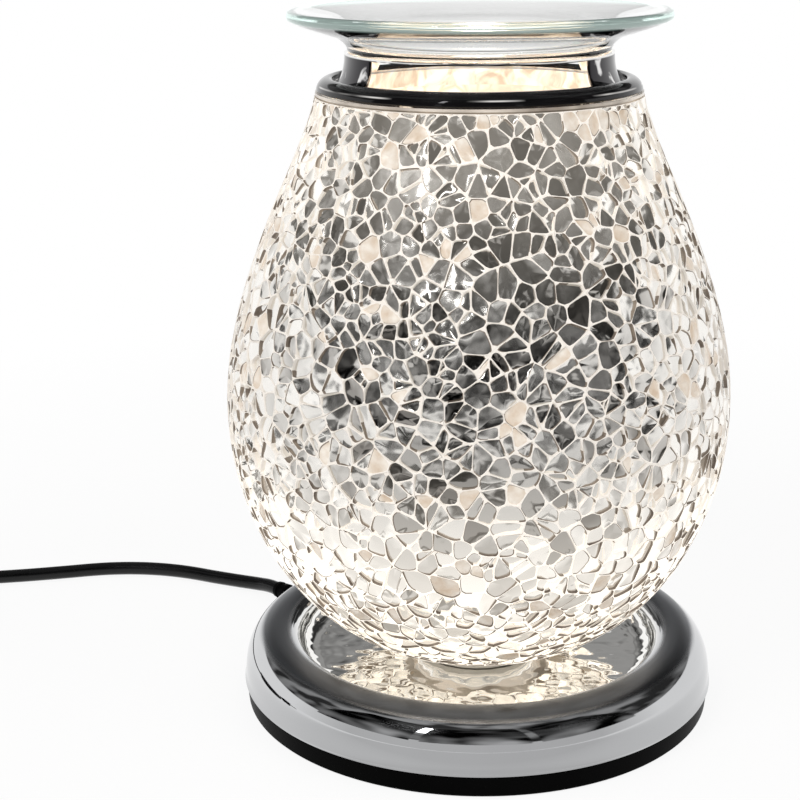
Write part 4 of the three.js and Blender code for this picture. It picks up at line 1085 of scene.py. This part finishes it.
def clearDish(v):
    rim = v['rim']
    under = (rim[0] - v['round'] * 0.2, rim[1] - v['round'] * 0.8)
    over = (rim[0] - v['overhang'], rim[1] + v['round'])
    wall, bend, bendTop = v['seat'][0], v['bendZ'], v['bendZ'] + v['glass']
    below = bezier(v['seat'], (wall + v['inPull'], bend), (rim[0] - v['outPull'], bend), under, 20)
    above = bezier(over, (over[0] - v['outPull'], bendTop), (wall, bendTop),
                   (v['foot'] - v['glass'] / 3, v['z'] + v['glass']), 20)
    nose = [(rim[0], rim[1]), (rim[0] - 0.15, rim[1] + 0.6), (rim[0] - 0.7, rim[1] + 1.1),
            (rim[0] - 1.4, rim[1] + 1.35)]
    line = [(0, v['z']), (v['foot'] - 0.5, v['z']), (v['foot'], v['z'] + 0.3), *below, *nose,
            *above, (0, v['z'] + v['glass'])]
    return dress(turnedPiece('clearDish', line, steps=240, smoothAngle=60), 'dish', 'clear_glass',
                 dishGlass, 'glass_dish')


beadRing(beadValues)
galleryCollar(collarValues)
clearDish(dishValues)
print('gallery and dish made')

# Reflector lamp: a silvered body, its faceted lens and the capsule inside
lampValues = {'z': 63.5, 'base': 12, 'baseHeight': 12.5, 'face': 25, 'height': 51, 'rim': 4.5,
              'glass': 1.6, 'cupZ': 83.5, 'throat': 6.5, 'lensThick': 2, 'lensSeat': 2.3,
              'flarePull': ((17, 79), (21.7, 96.7)), 'bowlPull': ((20.5, 96.7), (15, 87.5)),
              'capsule': 5, 'capsuleZ': (83.8, 96.8)}


def reflectorLamp(v):
    top, lens = v['z'] + v['height'], v['face'] - v['glass']
    flare = bezier((v['base'], v['z'] + v['baseHeight']), *v['flarePull'],
                   (v['face'], top - v['rim']), 16)
    bowl = bezier((lens - 1, top - v['rim']), *v['bowlPull'], (v['throat'], v['cupZ']), 14)
    seat = top - v['lensSeat']
    line = [(0, v['z']), (v['base'] - 1, v['z']), (v['base'], v['z'] + 1), *flare,
            (v['face'], top - 0.4), (v['face'] - 0.4, top), (lens, top), (lens, seat),
            (lens - 1, seat), *bowl, (0, v['cupZ'])]
    body = turnedPiece('lampReflector', line, steps=96, smoothAngle=40)
    dress(body, 'reflector_lamp', 'ceramic', lampSilver, 'lamp_body')
    under = top - v['lensThick']
    dome = [(0, under), (lens - 0.3, under), (lens - 0.3, top - 0.5), (lens - 0.8, top),
            (0, top)]
    dress(turnedPiece('lampLens', dome, steps=96), 'reflector_lamp', 'lamp_glass', lampFace,
          'lamp_lens')
    radius, (foot, crown) = v['capsule'], v['capsuleZ']
    bulb = [(0, foot), (radius - 0.8, foot), (radius, foot + 0.8),
            *quarter((0, crown), radius, radius, 8)[:-1], (0, crown + radius)]
    dress(turnedPiece('lampCapsule', bulb, steps=40), 'reflector_lamp', 'lamp_glass', lampGlass,
          'lamp_capsule')


reflectorLamp(lampValues)
print('lamp made')

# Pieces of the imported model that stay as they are
keptFinishes = (
    (steel, ('bottom_plate', 'bottom_screw_1', 'bottom_screw_2', 'bottom_screw_3', 'stem_tube',
             'stem_washer', 'stem_nut_lower', 'stem_nut_middle', 'stem_nut_upper', 'clamp_disc',
             'holder_bracket', 'holder_screw_1', 'holder_screw_2')),
    (rubber, ('rubber_foot_1', 'rubber_foot_2', 'rubber_foot_3', 'rubber_foot_4')),
    (silicone, ('shade_gasket', 'clamp_gasket')), (ceramic, ('lamp_holder',)),
    (brass, ('lamp_pin_1', 'lamp_pin_2')), (whitePlastic, ('terminal_block', 'touch_module')),
    (cordBlack, ('supply_tail',)), (wireBrown, ('wire_live', 'module_lead')),
    (wireBlue, ('wire_neutral',)), (wireYellow, ('touch_lead',)))
for finish, nodeNames in keptFinishes:
    for nodeName in nodeNames:
        setFinish(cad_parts[nodeName], finish)
print('kept pieces finished')

# Stage: white floor, a grey studio over dark cards in front, and soft light
stageValues = {'floorSize': 8, 'frontBand': 0.64, 'backBand': 1.0, 'bandTurn': (-0.5, 0.1),
               'bandTop': 0.30, 'bandSoft': 0.02, 'room': 0.13, 'zenith': 0.20, 'light': 0.60,
               'white': (0.20, 0.5), 'whiteNear': 0.90, 'floorColour': (0.92, 0.92, 0.92, 1),
               'floorMiddle': (0, -0.45, 0), 'floorSpan': (0.34, 0.50), 'floorFront': 0.64,
               'floorBack': 1.0, 'cloud': 3.2, 'cloudEnds': (0.42, 0.58), 'cloudLow': 0.2,
               'cloudHigh': 2.1}
cardValues = {'turns': (-52, 0, 52), 'reach': 0.42, 'height': 0.42, 'size': (0.36, 0.6),
              'middleSize': (0.38, 0.6), 'level': 0.55, 'fade': (0.16, 0.30), 'faded': 0.12,
              'floorSize': (0.9, 0.75), 'floorPlace': (0, -0.66, 0.002), 'floorLevel': 0.34,
              'patch': 6, 'cloudEnds': (0.42, 0.70), 'grazingSpan': (0.84, 0.90)}


# What the camera sees, straight or through glass
def seenShare(tree, ray):
    return maths(tree, 'MAXIMUM', ray.outputs['Is Camera Ray'], ray.outputs['Is Transmission Ray'])


def floorMaterial(v):
    material, tree, shader = newMaterial('paleFloor', {})
    tree.nodes.remove(shader)
    ray = addNode(tree, 'LightPath')
    spot = pieceSpot(tree)
    whiteShare = ranged(tree, lengthOf(tree, spot), *v['white'], v['whiteNear'], 1.0)
    fromFront = addNode(tree, 'VectorMath', {'operation': 'DISTANCE', 1: v['floorMiddle']},
                        {0: spot}).outputs[1]
    level = ranged(tree, fromFront, *v['floorSpan'], v['floorFront'], v['floorBack'])
    matt = addNode(tree, 'BsdfDiffuse', {'Color': v['floorColour']})
    white = addNode(tree, 'Emission', {'Color': (1, 1, 1, 1), 'Strength': 1.0})
    pale = addNode(tree, 'Emission', None, {'Strength': level})
    plain = addNode(tree, 'MixShader', None, {0: times(tree, seenShare(tree, ray), whiteShare),
                                              1: matt.outputs[0], 2: white.outputs[0]})
    whole = addNode(tree, 'MixShader', None, {0: ray.outputs['Is Glossy Ray'],
                                              1: plain.outputs[0], 2: pale.outputs[0]})
    feed(tree, tree.nodes['Material Output'], {'Surface': whole.outputs[0]})
    return material


def studioWorld(v):
    world = bpy.data.worlds.new('studio')
    bpy.context.scene.world = world
    world.use_nodes = True
    tree = world.node_tree
    ray = addNode(tree, 'LightPath')
    way = addNode(tree, 'TexCoord').outputs['Generated']
    sides = addNode(tree, 'SeparateXYZ', None, {0: way})
    bandEdge = v['bandTop'] + v['bandSoft']
    behind = ranged(tree, sides.outputs['Y'], *v['bandTurn'], v['frontBand'], v['backBand'])
    room = ranged(tree, sides.outputs['Z'], bandEdge, 1.0, v['room'], v['zenith'])
    uneven = ranged(tree, cloudAt(tree, way, v['cloud'], 2.0), *v['cloudEnds'], v['cloudLow'],
                    v['cloudHigh'])
    above = ranged(tree, sides.outputs['Z'], v['bandTop'], bandEdge)
    level = mixedLevel(tree, above, behind, times(tree, room, uneven))
    grey = addNode(tree, 'CombineColor', None, {0: level, 1: level, 2: level})
    lit = mixedColour(tree, seenShare(tree, ray), (v['light'],) * 3, (1.0, 1.0, 1.0))
    feed(tree, tree.nodes['Background'],
         {'Color': mixedColour(tree, ray.outputs['Is Glossy Ray'], lit, grey.outputs[0])})


# A card that only reflections show: fading upwards, or as pale as the studio at a low angle
def cardMaterial(name, v, level, fades=False, grazing=None):
    material, tree, shader = newMaterial(name, {})
    tree.nodes.remove(shader)
    spot = pieceSpot(tree)
    glow = ranged(tree, cloudAt(tree, spot, v['patch'], 1.0), *v['cloudEnds'], 0.0, level)
    if fades:
        glow = times(tree, glow, ranged(tree, heightOf(tree, spot), *v['fade'], 1.0,
                                        v['faded']))
    if grazing:
        facing = addNode(tree, 'LayerWeight', {'Blend': 0.5}).outputs['Facing']
        glow = mixedLevel(tree, ranged(tree, facing, *v['grazingSpan']), glow, grazing)
    shine = addNode(tree, 'Emission', None, {'Strength': glow})
    feed(tree, tree.nodes['Material Output'], {'Surface': shine.outputs[0]})
    return material


def stageCard(name, size, place, tilt, material):
    card = freshPlane(name)
    card.scale = (*size, 1)
    card.rotation_euler = tilt
    card.location = place
    bakePlace(card)
    setFinish(card, material)
    card.visible_camera = card.visible_diffuse = card.visible_shadow = False
    card.visible_transmission = card.visible_volume_scatter = False


def softLight(name, place, target, size, power):
    bpy.ops.object.light_add(type='AREA', location=place)
    light = bpy.context.object
    light.name = name
    light.data.shape = 'RECTANGLE'
    light.data.size, light.data.size_y = size
    light.data.energy = power
    light.rotation_euler = (Vector(target) - Vector(place)).to_track_quat('-Z', 'Y').to_euler()
    light.visible_camera = False


floor = freshPlane('paleFloor', stageValues['floorSize'])
setFinish(floor, floorMaterial(stageValues))
studioWorld(stageValues)
darkCard = cardMaterial('darkCard', cardValues, cardValues['level'], fades=True)
for number, turn in enumerate(cardValues['turns']):
    turn = math.radians(turn)
    place = (cardValues['reach'] * math.sin(turn), -cardValues['reach'] * math.cos(turn),
             cardValues['height'])
    stageCard(f'darkCard{number}', cardValues['size' if turn else 'middleSize'], place,
              (math.pi / 2, 0, turn), darkCard)
stageCard('darkCardFloor', cardValues['floorSize'], cardValues['floorPlace'], (0, 0, 0),
          cardMaterial('darkFloorCard', cardValues, cardValues['floorLevel'],
                       grazing=stageValues['frontBand']))
softLight('keyLight', (-0.55, -0.75, 0.95), (0, 0, 0.1), (0.5, 0.35), 5)
softLight('fillLight', (0.8, -0.5, 0.8), (0, 0, 0.1), (0.4, 0.3), 2)
bpy.ops.object.light_add(type='POINT', location=(0, 0, 0.128))
lampLight = bpy.context.object
lampLight.name = 'lampLight'
lampLight.data.energy = 0.075
lampLight.data.color = (1.0, 0.92, 0.80)
lampLight.data.shadow_soft_size = 0.012
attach(lampLight, 'reflector_lamp')
print('stage and lights set')
